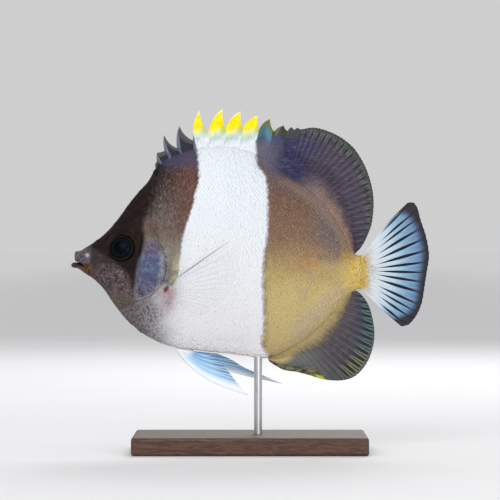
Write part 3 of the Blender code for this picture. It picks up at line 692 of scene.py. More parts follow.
def make_pectoral_fin(side, name, material, node):
    top, low = np.array(PECTORAL_BASE)
    middle = (top + low) / 2
    skin_y = flank(middle[:1], np.array([math.asin(-0.3)]))[0, 1]

    def surface(u, v):
        angle = between(*PECTORAL_ANGLE, u)
        length = between(*PECTORAL_LENGTH, u ** 1.4)
        corner = 1 - 0.05 * (1 - ease(u, 0.0, 0.08)) - 0.10 * ease(u, 0.9, 1.0)
        start = between(top, low, (0.08 + 0.84 * u)[:, None])
        far = length * corner * v
        out = skin_y + 0.75 + far * math.tan(PECTORAL_SPLAY) + 0.7 * np.sin(math.pi * v) * (1 - u)
        return np.stack([start[:, 0] + np.cos(angle) * far, side * out, start[:, 1] + np.sin(angle) * far],
                        axis=1)

    def half(u, v):
        ridge = ray_ridge(u * PECTORAL_RAYS, v, 0.4) * 0.16 * np.minimum(1, v / 0.1) * (1 - 0.5 * v)
        return fin_foot(v, 0.7, 0.07) + ridge

    show(name, fin_mesh(name, PECTORAL_RAYS * 8, 36, surface, half), material, "clear_fin", node)


def make_pelvic_fin(side, name, material, node):
    first, last = np.array(PELVIC_BASE)
    points = PELVIC_MARGINS[side]
    bow = PELVIC_BOW[side]

    def surface(u, v):
        start = between(first, last, (0.1 + 0.8 * u)[:, None])
        spot = between(start, along(points, u), v[:, None])
        z = spot[:, 1] - bow * (1 - u) * np.sin(math.pi * v ** 0.75)
        far = np.hypot(spot[:, 0] - start[:, 0], z - start[:, 1])
        y = side * (PELVIC_Y + far * math.tan(PELVIC_SPLAY) * (1 - 0.5 * u))
        return np.stack([spot[:, 0], y, z], axis=1)

    def half(u, v):
        spine = bell(u, 0.04, 0.05) * 0.34 * (1 - 0.7 * v)
        ridge = ray_ridge(u * PELVIC_RAYS, v, 0.25) * 0.2 * np.minimum(1, v / 0.1) * (1 - 0.5 * v)
        return fin_foot(v, 0.75, 0.10) + np.maximum(spine, ridge)

    show(name, fin_mesh(name, PELVIC_RAYS * 14, 44, surface, half), material, "pale_fin", node)


def make_fins(looks, rng):
    fin = make_spiny_dorsal(looks["spiny"])
    scale_fin("scales_spiny_dorsal", *fin, lambda u: 0.30 + 0.30 * ease(u, 0.3, 0.8), rng, looks["spiny"],
              "spiny_fin")
    back_foot, belly_foot = on_ridge(back, 1.0), on_ridge(belly, -1.0)
    fin = soft_fin("soft_dorsal_fin", lambda u: u * DORSAL_RAYS,
                   lambda u: back_foot(between(*SOFT_DORSAL_BASE, u)),
                   lambda u: along(SOFT_DORSAL, u), looks["dorsal"], "dark_fin", "dorsal_fin_soft", 300)
    scale_fin("scales_soft_dorsal", *fin, lambda u: 0.50 - 0.08 * u, rng, looks["dorsal"], "dark_fin")
    fin = soft_fin("anal_fin_rays", lambda u: u * ANAL_RAYS,
                   lambda u: belly_foot(between(*ANAL_BASE, u)),
                   lambda u: along(ANAL, u), looks["anal"], "dark_fin", "anal_fin", 288)
    scale_fin("scales_anal_fin", *fin, lambda u: 0.24 + 0.04 * u, rng, looks["anal"], "dark_fin")
    top, low = np.array(TAIL_BASE)

    def tail_foot(u):
        share = 0.42 * (1 - np.abs(2 * u - 1) ** 1.8) + (u > 0.5) * np.abs(2 * u - 1) ** 1.8
        return upright(between(top, low, share[:, None]))

    fin = soft_fin("tail_fin", lambda u: smooth(TAIL_GAPS, u), tail_foot, lambda u: along(TAIL_MARGIN, u),
                   looks["tail"], "tail_fin", "caudal_fin", 280, foot=1.9, ridge=0.30, bow=TAIL_BOW)
    scale_fin("scales_tail_fin", *fin, lambda u: 0.13 + 0.10 * np.sin(u * 47) ** 2, rng,
              looks["tail"], "tail_fin")
    for side, word in SIDES:
        make_pectoral_fin(side, "pectoral_rays_" + word, looks["pectoral"], "pectoral_fin_" + word)
        make_pelvic_fin(side, "pelvic_rays_" + word, looks["pelvic"], "pelvic_fin_" + word)


# Eyes

def make_eye(side, name, material, node):
    shape = bmesh.new()
    bmesh.ops.create_uvsphere(shape, u_segments=72, v_segments=44, radius=1)
    bmesh.ops.rotate(shape, matrix=Matrix.Rotation(math.pi / 2, 3, "X"), verts=shape.verts)
    mesh = new_mesh(shape, name)
    ball = read_points(mesh)
    away = np.hypot(ball[:, 0], ball[:, 2])
    points = ball * np.array(EYE_RADII)
    outer = np.sign(ball[:, 1]) == side
    points[:, 1] += np.where(outer, side * 0.22 * bell(away, 0.80, 0.05), 0)
    turn = np.array(Euler((side * EYE_TURN[0], 0, side * EYE_TURN[1])).to_matrix())
    points = points @ turn.T + np.array([EYE[0], side * EYE_OUT, EYE[1]])
    write_points(mesh, to_frame(points))
    face_outwards(mesh)
    point_value(mesh, "away", away)
    # forward places the eye material's painted blue reflection on the pupil's rear side
    point_value(mesh, "forward", ball[:, 0])
    show(name, mesh, material, "eye", node)


# Materials

# Noise that parts of the fish share: scale, detail and roughness
PATCHES = (0.34, 4, 0.6)
CLOUDS = (0.10, 3, 0.55)
SKIN_GRAIN = 1.6
FIN_GRAIN = 1.8
SKIN_SHINE = 0.14
STALK_GOLD = ((210, 184, 108), (200, 160, 66))


class Value:
    """A number or colour that changes over a surface."""

    def __init__(self, look, socket):
        self.look = look
        self.socket = socket

    def __add__(self, other):
        return self.look.math("ADD", self, other)

    def __radd__(self, other):
        return self.look.math("ADD", other, self)

    def __sub__(self, other):
        return self.look.math("SUBTRACT", self, other)

    def __rsub__(self, other):
        return self.look.math("SUBTRACT", other, self)

    def __mul__(self, other):
        return self.look.math("MULTIPLY", self, other)

    def __rmul__(self, other):
        return self.look.math("MULTIPLY", other, self)

    def __truediv__(self, other):
        return self.look.math("DIVIDE", self, other)

    def __abs__(self):
        return self.look.math("ABSOLUTE", self)


class Look:
    """A material, its Principled shader and the nodes that feed it."""

    def __init__(self, name, **constants):
        self.material = bpy.data.materials.new(name)
        self.material.use_nodes = True
        self.tree = self.material.node_tree
        self.shader = self.tree.nodes["Principled BSDF"]
        for key, value in constants.items():
            self.shader.inputs[key.replace("_", " ")].default_value = value
        spot = self.add("ShaderNodeTexCoord", output="Object")
        self.spot = self.add("ShaderNodeVectorMath", {"operation": "MULTIPLY_ADD"},
                             {0: spot, 1: (1 / MM,) * 3, 2: (0, 0, -AXIS_HEIGHT / MM)})
        self.x, self.z = (self.add("ShaderNodeSeparateXYZ", {}, {0: self.spot}, k) for k in (0, 2))

    def add(self, kind, settings=None, sockets=None, output=0):
        """Any node: its settings are set first, then its sockets get their values or links."""
        node = self.tree.nodes.new(kind)
        for key, value in (settings or {}).items():
            if key == "stops":
                self.set_stops(node.color_ramp, value)
            elif key == "points":
                self.set_points(node.mapping, value)
            else:
                setattr(node, key, value)
        for key, value in (sockets or {}).items():
            self.feed(node.inputs[key], value)
        return Value(self, node.outputs[output])

    def feed(self, socket, value):
        if isinstance(value, Value):
            self.tree.links.new(value.socket, socket)
        else:
            socket.default_value = value

    @staticmethod
    def set_stops(colours, stops):
        while len(colours.elements) > 1:
            colours.elements.remove(colours.elements[-1])
        colours.elements[0].position = stops[0][0]
        colours.elements[0].color = colour(stops[0][1])
        for position, tone in stops[1:]:
            colours.elements.new(position).color = colour(tone)

    @staticmethod
    def set_points(mapping, points):
        line = mapping.curves[0]
        line.points[0].location = points[0]
        line.points[1].location = points[-1]
        for point in points[1:-1]:
            line.points.new(*point)
        mapping.update()

    def math(self, operation, *values):
        return self.add("ShaderNodeMath", {"operation": operation}, dict(enumerate(values)))

    def noise(self, scale, detail=3, rough=0.6, stretch=(1, 1, 1), turn=0):
        """Cloudy values from 0 to 1, with scale in cycles for each millimetre."""
        place = self.add("ShaderNodeMapping", {},
                         {"Vector": self.spot, "Rotation": (0, turn, 0), "Scale": stretch})
        return self.add("ShaderNodeTexNoise", {},
                        {"Vector": place, "Scale": scale, "Detail": detail, "Roughness": rough}, "Fac")

    def specks(self, scale, size):
        """1 in small round specks that lie at random, and 0 between them."""
        away = self.add("ShaderNodeTexVoronoi", {}, {"Vector": self.spot, "Scale": scale}, "Distance")
        return rise(away, size, size * 0.6)

    def line(self, value, points):
        """The second number of smooth points at a value of the first one."""
        first, second = zip(*points)
        low, high = min(second), max(second)
        share = (value - first[0]) / (first[-1] - first[0])
        spots = [((a - first[0]) / (first[-1] - first[0]), (b - low) / (high - low)) for a, b in points]
        found = self.add("ShaderNodeFloatCurve", {"points": spots}, {"Value": share})
        return found * (high - low) + low

    def attribute(self, name):
        return self.add("ShaderNodeAttribute", {"attribute_name": name}, {}, "Fac")

    def distance(self, place, squash=1.0):
        """Distance in the side view from a place (x, z), with heights squashed."""
        spot = self.add("ShaderNodeCombineXYZ", {}, {0: self.x, 2: self.z * squash})
        return self.add("ShaderNodeVectorMath", {"operation": "DISTANCE"},
                        {0: spot, 1: (place[0], 0, place[1] * squash)}, "Value")

    def bump(self, height, distance, strength=1.0):
        normal = self.add("ShaderNodeBump", {}, {"Height": height, "Distance": distance * MM,
                                                 "Strength": strength})
        self.feed(self.shader.inputs["Normal"], normal)

    def paint(self, **sockets):
        for key, value in sockets.items():
            self.feed(self.shader.inputs[key.replace("_", " ")], value)
        return self.material


def colour(tone):
    """A screen colour, given as three numbers from 0 to 255, in linear light."""
    shares = [c / 255 for c in tone]
    return tuple(c / 12.92 if c <= 0.04045 else ((c + 0.055) / 1.055) ** 2.4 for c in shares) + (1.0,)


def ramp(value, *stops):
    """Colours blended along a value, each given with its place."""
    return value.look.add("ShaderNodeValToRGB", {"stops": stops}, {0: value})


def rise(value, low, high):
    """0 below low, 1 above high and a smooth rise between them. low may be the higher one."""
    return value.look.add("ShaderNodeMapRange", {"interpolation_type": "SMOOTHSTEP"},
                          {"Value": value, "From Min": low, "From Max": high})


def fract(value):
    return value.look.math("FRACT", value)


def most(first, second):
    """The greater of two values."""
    return first.look.math("MAXIMUM", first, second)


def mix(share, first, second):
    """The second colour over the first, by share."""
    look = next(value.look for value in (share, first, second) if isinstance(value, Value))
    tones = [tone if isinstance(tone, Value) else colour(tone) for tone in (first, second)]
    return look.add("ShaderNodeMix", {"data_type": "RGBA"}, {0: share, 6: tones[0], 7: tones[1]}, 2)


def cover(ground, *layers):
    """A colour under layers, each a share and a colour, the last one on top."""
    for share, tone in layers:
        ground = mix(share, ground, tone)
    return ground


# Where the markings lie, as (height, place along the body)
BAND_FRONT = ((-70, -76), (-30, -68), (-26.5, -57), (-24.1, -51.5), (-21, -47), (-18.2, -41.8),
              (-17, -35.6), (-12.7, -32.1), (-4.2, -31.0), (5.4, -29.5), (14.7, -26.8), (22.5, -24.6),
              (33, -22.5), (41.5, -23.2), (49, -24.6), (52.5, -25.6), (70, -26))
BAND_REAR = ((-70, 9.5), (-47.8, 8.4), (-39.7, 5.2), (-35.3, 6.0), (-13.8, 5.7), (-1.8, 6.2), (4.5, 7.5),
             (20.1, 7.9), (28.6, 7.5), (34.4, 5.9), (39.7, 3.1), (48.7, 2.7), (70, 3.3))
MASK_FRONT = ((-70, -50), (-20, -51.3), (-14, -53.2), (-8, -57.0), (-5.4, -60.5), (-3, -64.0), (0, -68.0),
              (3, -73.5), (6, -78), (70, -84))
MASK_REAR = ((-70, -52), (-20, -51.0), (-16.5, -50.9), (-5.1, -49.2), (4, -46.8), (10, -47.2), (16, -45.6),
             (22, -44.0), (30, -42.4), (38, -40.5), (70, -40))
PLATE_REAR = ((-70, -52), (-24, -51.5), (-20.6, -46.3), (-16, -41.2), (-9, -40.0), (-2, -39.7), (3, -40.6),
              (5.4, -43.5), (8, -46), (70, -46))
GILL_REAR = ((-70, -55), (-25, -50.6), (-21.9, -47.8), (-18.8, -42.4), (-13.8, -38.8), (-8, -37.5),
             (-1.3, -38.4), (4.5, -41.1), (11.2, -44.2), (70, -44.2))
# Where the scaly foot of the soft dorsal fin begins on the back, as (place along the body, height)
FIN_FOOT = ((-5, 60), (3.2, 42), (8.9, 35.2), (17.9, 31.0), (26.8, 24.6), (33.5, 18.0), (38.3, 11.0),
            (42.4, 3.8), (45.5, 0.5), (60, 0.5))


def rear_tones(look, cloud, patchy, fine):
    """The flank behind the white band: brown above, gold below and yellow on the tail's stalk."""
    x, z = look.x, look.z
    height = rise(z + (cloud - 0.5) * 14 + (patchy - 0.5) * 6, -48, 44)
    warm = rise(look.noise(0.22, 3, 0.6, (1, 1, 0.45)), 0.52, 0.72)
    lilac = rise(look.noise(0.16, 2, 0.5, turn=0.6), 0.50, 0.68)
    hazy = rise(x, 24, 34) * rise(z, -8, 2)
    fringe = 1 - rise(x - look.line(z, BAND_REAR), 0.5, 3.5)
    beside_foot = abs(x - z - 57.2 + (patchy - 0.5) * 6)
    dusk = rise(beside_foot, 7, 2) * rise(x, 14, 24) * rise(z, -14, -20)
    rusty = rise(look.noise(0.13, 3, 0.6, (0.7, 1, 1)), 0.47, 0.62) * rise(x, 8, 20)
    stalk = rise(x + (patchy - 0.5) * 9 - (z + 8) * 0.15, 37.5, 46.5)
    stalk = stalk * most(rise(z, -21, -15), rise(x, 42, 46))
    gold = mix(rise(patchy, 0.45, 0.65), *STALK_GOLD)
    gold = mix(rise(z, -6, -2) * rise(patchy, 0.4, 0.6) * 0.6, gold, (186, 124, 48))
    return cover(
        ramp(height, (0.0, (196, 176, 124)), (0.22, (196, 176, 118)), (0.36, (178, 156, 102)),
             (0.50, (146, 122, 90)), (0.66, (124, 96, 78)), (0.86, (106, 80, 72)), (1.0, (92, 78, 84))),
        (warm * rise(z, -14, 6) * 0.6, (134, 90, 66)),
        (lilac * rise(x, 14, 30) * rise(z, 2, -8) * 0.55, (172, 152, 138)),
        (hazy * 0.85, (102, 94, 96)),
        (fringe * rise(patchy, 0.35, 0.6) * 0.6, (124, 96, 88)),
        (dusk * rise(fine, 0.3, 0.6) * 0.7, (188, 168, 150)),
        (rusty * rise(z, -14, -9) * rise(z, 4, -2) * 0.38, (190, 138, 80)),
        (stalk, gold),
        (rise(x + (fine - 0.5) * 2 + (patchy - 0.5) * 2, 51.2, 54.2), (214, 214, 208)),
        (rise(fine, 0.50, 0.72) * 0.35, (216, 196, 150)),
        (rise(fine, 0.48, 0.34) * 0.25, (92, 70, 46)))


def nape_tones(look, cloud, patchy, fine):
    """The nape between the mask and the white band, speckled with grey and rust."""
    x, z = look.x, look.z
    rust = rise(x + (cloud - 0.5) * 10, -38, -27)
    streaks = rise(look.noise(1.3, 3, 0.65, (1, 1, 0.45)), 0.50, 0.66)
    dark = rise(look.noise(0.9, 3, 0.65, (1, 1, 0.6), -0.5), 0.50, 0.40)
    rusty = rise(look.noise(1.0, 3, 0.6, (1, 1, 0.5), 0.4), 0.55, 0.67)
    rim = rise(x, -35.4, -37.2) * rise(z, 3, -3)
    strip = (rise(x - look.line(z, BAND_FRONT) + (patchy - 0.5) * 2, -3.4, -2.0)
             * rise(z + (patchy - 0.5) * 10, 2, -8) * rise(z, -16.5, -14.5)
             * rise(fine + patchy, 0.75, 1.15))
    arm = rise(z, -14.5, -16.5)
    return cover(
        mix(rise(z + (cloud - 0.5) * 12, 37, 6), (40, 29, 30), (108, 96, 89)),
        (rust * rise(z, -4, 12) * 0.75, (106, 70, 56)),
        (streaks * 0.42, (150, 133, 127)),
        (dark * 0.5, (52, 38, 36)),
        (rusty * rise(z, -2, 10) * rise(x, -44, -30) * 0.7, (104, 60, 40)),
        (rise(z + (patchy - 0.5) * 4, 34, 40) * 0.8, (73, 72, 100)),
        (rise(z, 10, 0) * 0.45, (150, 144, 132)),
        (rim * 0.8, mix(rise(fine + patchy, 0.85, 1.15), (150, 152, 162), (102, 112, 124))),
        (strip * 0.85, (188, 178, 150)),
        (arm, (176, 164, 164)))


def cheek_tones(look, patchy, fine):
    """The snout, lips and cheek, grey and lilac with brown dots."""
    x, z = look.x, look.z
    flecks = rise(look.noise(1.0, 3, 0.65), 0.50, 0.66)
    rusty = rise(look.noise(0.45), 0.52, 0.66) * rise(z, -9, -13)
    ahead = rise(x + (patchy - 0.5) * 3, -69.5, -72.5)
    lip = mix(rise(look.noise(0.8), 0.36, 0.66), (58, 52, 58), (106, 100, 107))
    spot = look.distance((-72.4, -2.3))
    jaw = mix(rise(look.noise(0.7), 0.42, 0.60), (52, 39, 33), (98, 70, 42))
    low = rise(z, -5.6, -6.6) * rise(z + (x + 74) * 0.3, -14.5, -11)
    return cover(
        mix(rise(patchy, 0.40, 0.62), (58, 48, 49), (92, 80, 84)),
        (flecks * rise(x, -76, -62) * 0.8, (140, 127, 134)),
        (rise(x, -64, -70) * 0.45, (48, 36, 33)),
        (rise(look.noise(0.75, 3, 0.65, turn=0.8), 0.54, 0.64) * 0.85, (46, 32, 32)),
        (rise(z + (patchy - 0.5) * 4, -10, -5) * rise(x, -72, -70) * 0.65, (42, 33, 33)),
        (rusty * 0.55, (112, 74, 62)),
        (rise(z + (patchy - 0.5) * 5, -17.5, -21) * 0.75,
         mix(rise(fine, 0.40, 0.62), (62, 53, 46), (114, 104, 93))),
        (ahead * rise(z, -7, -5), lip),
        (rise(spot + (fine - 0.5) * 0.8, 1.3, 0.3) * 0.85, (190, 166, 168)),
        (rise(x + (patchy - 0.5) * 4, -68.5, -71.5) * low * rise(x, -79.0, -77.6), jaw))


def plate_tones(look, patchy):
    """The gill cover behind the mask, lilac above and bluer below with pale veins."""
    z = look.z
    veins = abs(look.noise(0.42, 2, 0.5, (1, 1, 0.7), -0.5) - 0.5)
    flecks = rise(look.noise(1.2, 3, 0.65), 0.52, 0.66)
    return cover(
        ramp(rise(z + (patchy - 0.5) * 8, -22, 6), (0.0, (86, 79, 92)), (0.25, (80, 80, 104)),
             (0.50, (72, 86, 110)), (0.75, (82, 80, 106)), (0.92, (94, 73, 90)), (1.0, (90, 76, 80))),
        (rise(look.noise(0.30), 0.48, 0.66) * 0.5, (72, 102, 134)),
        (rise(look.noise(0.45, turn=0.9), 0.54, 0.68) * 0.6, (74, 52, 88)),
        (rise(veins, 0.045, 0.008) * 0.35, (142, 150, 182)),
        (flecks * 0.28, (120, 122, 150)),
        (look.specks(0.6, 0.32) * rise(z, -10, -17) * 0.8, (38, 32, 52)))


def white_tones(look, cloud, fine):
    """The white band and belly, and the speckled throat in front of it."""
    x, z = look.x, look.z
    ahead = rise(x + (cloud - 0.5) * 8, -25, -53)
    rows = look.noise(1.3, 3, 0.6, (1, 1, 0.5), -0.7)
    throat = rise(x, -35, -45) * rise(z, -22, -26)
    return cover(
        mix(rise(z + (cloud - 0.5) * 20, -50, 40), (226, 225, 227), (224, 230, 236)),
        (rise(fine, 0.45, 0.8) * 0.3, (214, 220, 230)),
        # Painted light: the lowest belly made whiter, to make up for the weak light from below
        (rise(z, -39, -47) * 0.7, (250, 247, 249)),
        (ahead, (110, 104, 108)),
        (rise(rows, 0.50, 0.58) * throat * 0.75, (64, 48, 54)),
        (rise(look.noise(0.8, 2, 0.6), 0.56, 0.64) * throat * 0.5, (66, 46, 50)))


def root_tones(look, skin, patchy, fine):
    """The lilac skin round the root of the pectoral fin, and the rusty spot above it."""
    near = look.distance((-36.6, -21.0), 0.6)
    glow = look.distance((-36.2, -18.4))
    x, z = look.x + 37.0, look.z + 17.3
    across, slant = x * 0.87 - z * 0.5, x * 0.5 + z * 0.87
    spot = look.math("SQRT", across * across * 1.5 + slant * slant * 0.32)
    spot = spot + (fine - 0.5) * 0.9 + (patchy - 0.5) * 1.2
    return cover(
        skin,
        (rise(near + (patchy - 0.5) * 4, 5.5, 1.5) * rise(look.z, -15.5, -17.5) * 0.75, (166, 144, 156)),
        (rise(glow + (patchy - 0.5) * 3, 2.6, 0.6) * 0.6, (168, 116, 104)),
        (rise(spot, 1.35, 0.5) * 0.9, (88, 40, 32)))


def slate_tones(look, cloud, patchy):
    """The slate blue and purple of the dorsal fin's foot, with fine rows along the body."""
    x, z = look.x, look.z
    deep = rise(x + (cloud - 0.5) * 22 - (z - 45) * 0.2, 21, 36)
    near_band = rise(x + (patchy - 0.5) * 6, 18, 5)
    rows = rise(look.noise(1.5, 3, 0.6, (0.25, 1, 1)), 0.48, 0.66)
    return cover(
        mix(deep, (44, 46, 80), (64, 55, 70)),
        (near_band * 0.85, mix(rise(z, 45, 52), (112, 110, 124), (70, 74, 116))),
        (rise(patchy, 0.5, 0.7) * deep * 0.5, (84, 66, 74)),
        (rows * 0.35, (112, 108, 128)))


def fish_look():
    """Skin and scales with the fish's markings, the same on both."""
    look = Look("fish_skin", Specular_IOR_Level=SKIN_SHINE)
    x, z = look.x, look.z
    tint, rim = look.attribute("tint"), look.attribute("rim")
    fine, patchy, cloud = look.noise(SKIN_GRAIN), look.noise(*PATCHES), look.noise(*CLOUDS)
    ragged = (fine - 0.5) * 1.8 + (patchy - 0.5) * 1.2 + tint * 0.45

    nape = nape_tones(look, cloud, patchy, fine)
    dark = mix(rise(patchy, 0.4, 0.7), (12, 6, 5), (36, 16, 9))
    dark = mix(rise(fine, 0.52, 0.72) * 0.2, dark, (74, 50, 42))
    above_eye = rise(z, 6, 20)
    behind_mask = rise(x - look.line(z, MASK_REAR) + (patchy - 0.5) * (1.2 + above_eye * 5),
                       -1.2 - above_eye * 1.2, 1.6 + above_eye * 3.1)
    mask = rise(x - look.line(z, MASK_FRONT) + ragged * 1.3 + (patchy - 0.5) * 5, -2.0, 2.2)
    head = mix(mask, cheek_tones(look, patchy, fine), dark)
    plate = behind_mask * rise(look.line(z, PLATE_REAR) - x + (patchy - 0.5) * 4 + (fine - 0.5) * 3,
                               -1.5, 1.4)
    over = rise(z, 5, 7) * rise(z, 14, 11) * rise(x, -47.5, -46) * rise(x, -39, -41.5)
    below = rise(z + (patchy - 0.5) * 3, -20.3, -22.3) * rise(x - look.line(z, GILL_REAR), 1.0, -1.0)
    front = cover(
        mix(behind_mask, head, nape),
        (plate * rise(z + (fine - 0.5) * 4, 6.0, 2.4) * rise(z, -22.5, -20.5), plate_tones(look, patchy)),
        (over * 0.7, mix(fine, (84, 62, 56), (124, 100, 92))),
        (below * 0.7, mix(rise(fine, 0.40, 0.62), (66, 57, 50), (120, 110, 100))))

    on_throat = rise(x, -45, -51)
    past_front = rise(x - look.line(z, BAND_FRONT) + ragged * 0.7, -0.8 - on_throat * 1.6,
                      0.6 + on_throat * 2.4)
    past_rear = rise(x - look.line(z, BAND_REAR) + ragged * 0.7, -0.9, 0.8)
    band = past_front * (1 - past_rear)
    skin = mix(past_front, front, white_tones(look, cloud, fine))
    skin = root_tones(look, skin, patchy, fine)
    edge = past_rear * (1 - past_rear) * 4
    above = z - look.line(x, FIN_FOOT) + (patchy - 0.5) * 3
    foot = rise(above, -3.0, 2.5) * past_rear * rise(x, 30, 18)
    pale = rise(above, -7.0, -1.0) * (1 - foot) * rise(x, 8, 22) * rise(x, 50, 44)
    skin = cover(
        skin,
        (past_rear, rear_tones(look, cloud, patchy, fine)),
        (edge * 0.5, (170, 164, 190)),
        (foot, slate_tones(look, cloud, patchy)),
        (pale * 0.7, mix(rise(x, 30, 40), (144, 122, 112), (154, 128, 110))))
    skin = mix((rim * 0.2 + tint * 0.05 + 0.10) * (1 - band * 0.9), skin, mix(0.45, skin, (48, 36, 34)))
    # Painted shade: the inside of the mouth near black
    skin = mix(look.attribute("mouth"), skin, (22, 11, 11))
    look.bump(look.noise(2.4) + fine * 0.6, 0.05, 0.6)
    return look.paint(Base_Color=skin, Roughness=0.36 + fine * 0.16 + patchy * 0.06)


def fin_look(name, shine=SKIN_SHINE):
    """A fin's material, the shares u and v of its map and its grain."""
    look = Look(name, Specular_IOR_Level=shine)
    place = look.add("ShaderNodeUVMap", {"uv_map": "fin"})
    u, v = (look.add("ShaderNodeSeparateXYZ", {}, {0: place}, k) for k in range(2))
    return look, u, v, look.noise(FIN_GRAIN)


def rays(index, v, first_fork=0.3, wide=0.17):
    """1 on the fin rays and 0 between them. index counts the rays, which fork once on their way out."""
    off = abs(fract(index) - 0.5)
    off = abs(off - rise(v, first_fork, FORK_END) * FORK_SPREAD)
    return rise(off, wide, wide * 0.25)


def spiny_look():
    """The spiny dorsal fin: dark in front, white with four yellow teeth, then teal and slate."""
    look, u, v, fine = fin_look("spiny_dorsal")
    x, z = look.x, look.z
    patchy, cloud = look.noise(*PATCHES), look.noise(*CLOUDS)
    number = u * len(SPINE_TIPS)
    share = fract(number)
    spine = rise(abs(share - 0.2), 0.17, 0.06)

    top = z + (fine - 0.5) * 2.0 - (share - 0.2) * 2.0
    tooth = cover(
        mix(rise(top, 46.5, 50), (237, 242, 247), (196, 213, 214)),
        (rise(top, 49.0, 51.8) * 0.85, (214, 226, 178)),
        (rise(top, 51.0, 54.6), mix(rise(patchy, 0.4, 0.65), (250, 230, 0), (246, 212, 0))),
        # Painted shade: olive at the lower rear of each yellow tooth, the shadow along its rear edge
        (rise(share, 0.45, 0.9) * rise(top, 49, 52) * rise(top, 56, 53.5) * 0.6, (150, 162, 74)),
        (rise(z, 57.5, 60.5) * rise(v, 0.94, 0.99) * 0.8, (250, 244, 206)))

    dark = cover(
        mix(patchy, (26, 22, 30), (52, 46, 62)),
        (rise(v, 0.5, 0.1) * 0.7, (58, 56, 80)),
        (spine * 0.8, (112, 122, 138)),
        (rise(v, 0.93, 0.98), (160, 168, 176)))

    slate = slate_tones(look, cloud, patchy)
    olive = mix(spine, (56, 60, 46), (96, 98, 72))
    olive = mix(rise(number, 9.8, 10.4), olive, (62, 64, 68))
    past_slate = mix(rise(v + (fine - 0.5) * 0.1, 0.70, 0.86), slate, olive)
    teal = mix(rise(share + (fine - 0.5) * 0.4, 0.25, 0.6), (58, 102, 116), (82, 124, 144))
    teal = mix(rise(v + (fine - 0.5) * 0.1, 0.80, 0.93), teal, (104, 108, 44))
    teal = mix(rise(v + (fine - 0.5) * 0.2 + (patchy - 0.5) * 0.3, 0.42, 0.70), slate, teal)
    behind = mix(rise(number + (fine - 0.5) * 0.3, 8.85, 9.0), teal, past_slate)

    into_white = rise(x - look.line(z, BAND_FRONT) + (fine - 0.5) * 1.0, -0.5, 0.4)
    past_rear = rise(x - look.line(z, BAND_REAR) + (fine - 0.5) * 1.8 + (patchy - 0.5) * 1.2, -0.9, 0.8)
    past_tooth = rise(number + (fine - 0.5) * 0.2, 7.93, 8.03)
    past_white = mix(rise(z, 47, 50), past_rear, past_tooth)
    skin = cover(dark, (into_white, tooth), (past_white, behind))
    thin = (1 - spine) * (1 - into_white) * rise(v, 0.35, 0.7) * 0.35
    look.bump(fine + spine, 0.05)
    return look.paint(Base_Color=skin, Roughness=0.36 + fine * 0.2, Alpha=1 - thin)


def dorsal_look():
    """The soft dorsal fin: slate and purple with a thin clear margin."""
    look, u, v, fine = fin_look("soft_dorsal")
    patchy, cloud = look.noise(*PATCHES), look.noise(*CLOUDS)
    ray = rays(u * DORSAL_RAYS, v)
    wide_ray = rays(u * DORSAL_RAYS, v, 0.3, 0.24)
    foot = rise(v + (patchy - 0.5) * 0.3, 0.34, 0.0) * rise(u, 0.10, 0.40)
    rim = rise(v + (patchy - 0.5) * 0.08, 0.74, 0.88) * (0.65 + rise(u, 0.03, 0.10) * 0.35)
    pale = mix(rise(patchy, 0.35, 0.65), (58, 61, 63), (98, 101, 97))
    skin = cover(
        slate_tones(look, cloud, patchy),
        (rise(u, 0.70, 0.98) * rise(v, 0.1, 0.5) * 0.5, (42, 40, 50)),
        (ray * rise(v, 0.15, 0.6) * 0.20, (112, 104, 116)),
        ((1 - ray) * rise(v, 0.15, 0.6) * 0.25, (38, 32, 46)),
        (foot * 0.95, mix(rise(u, 0.4, 0.9), (138, 116, 112), (160, 128, 108))),
        (rim, mix(wide_ray, (34, 37, 40), pale)),
        (rise(v, 0.93, 0.99) * 0.8, (34, 35, 37)))
    look.bump(fine * 0.7 + ray * 0.5, 0.05)
    thin = (1 - ray) * rise(v, 0.86, 0.97) * 0.3
    return look.paint(Base_Color=skin, Roughness=0.38 + fine * 0.2, Alpha=1 - thin)


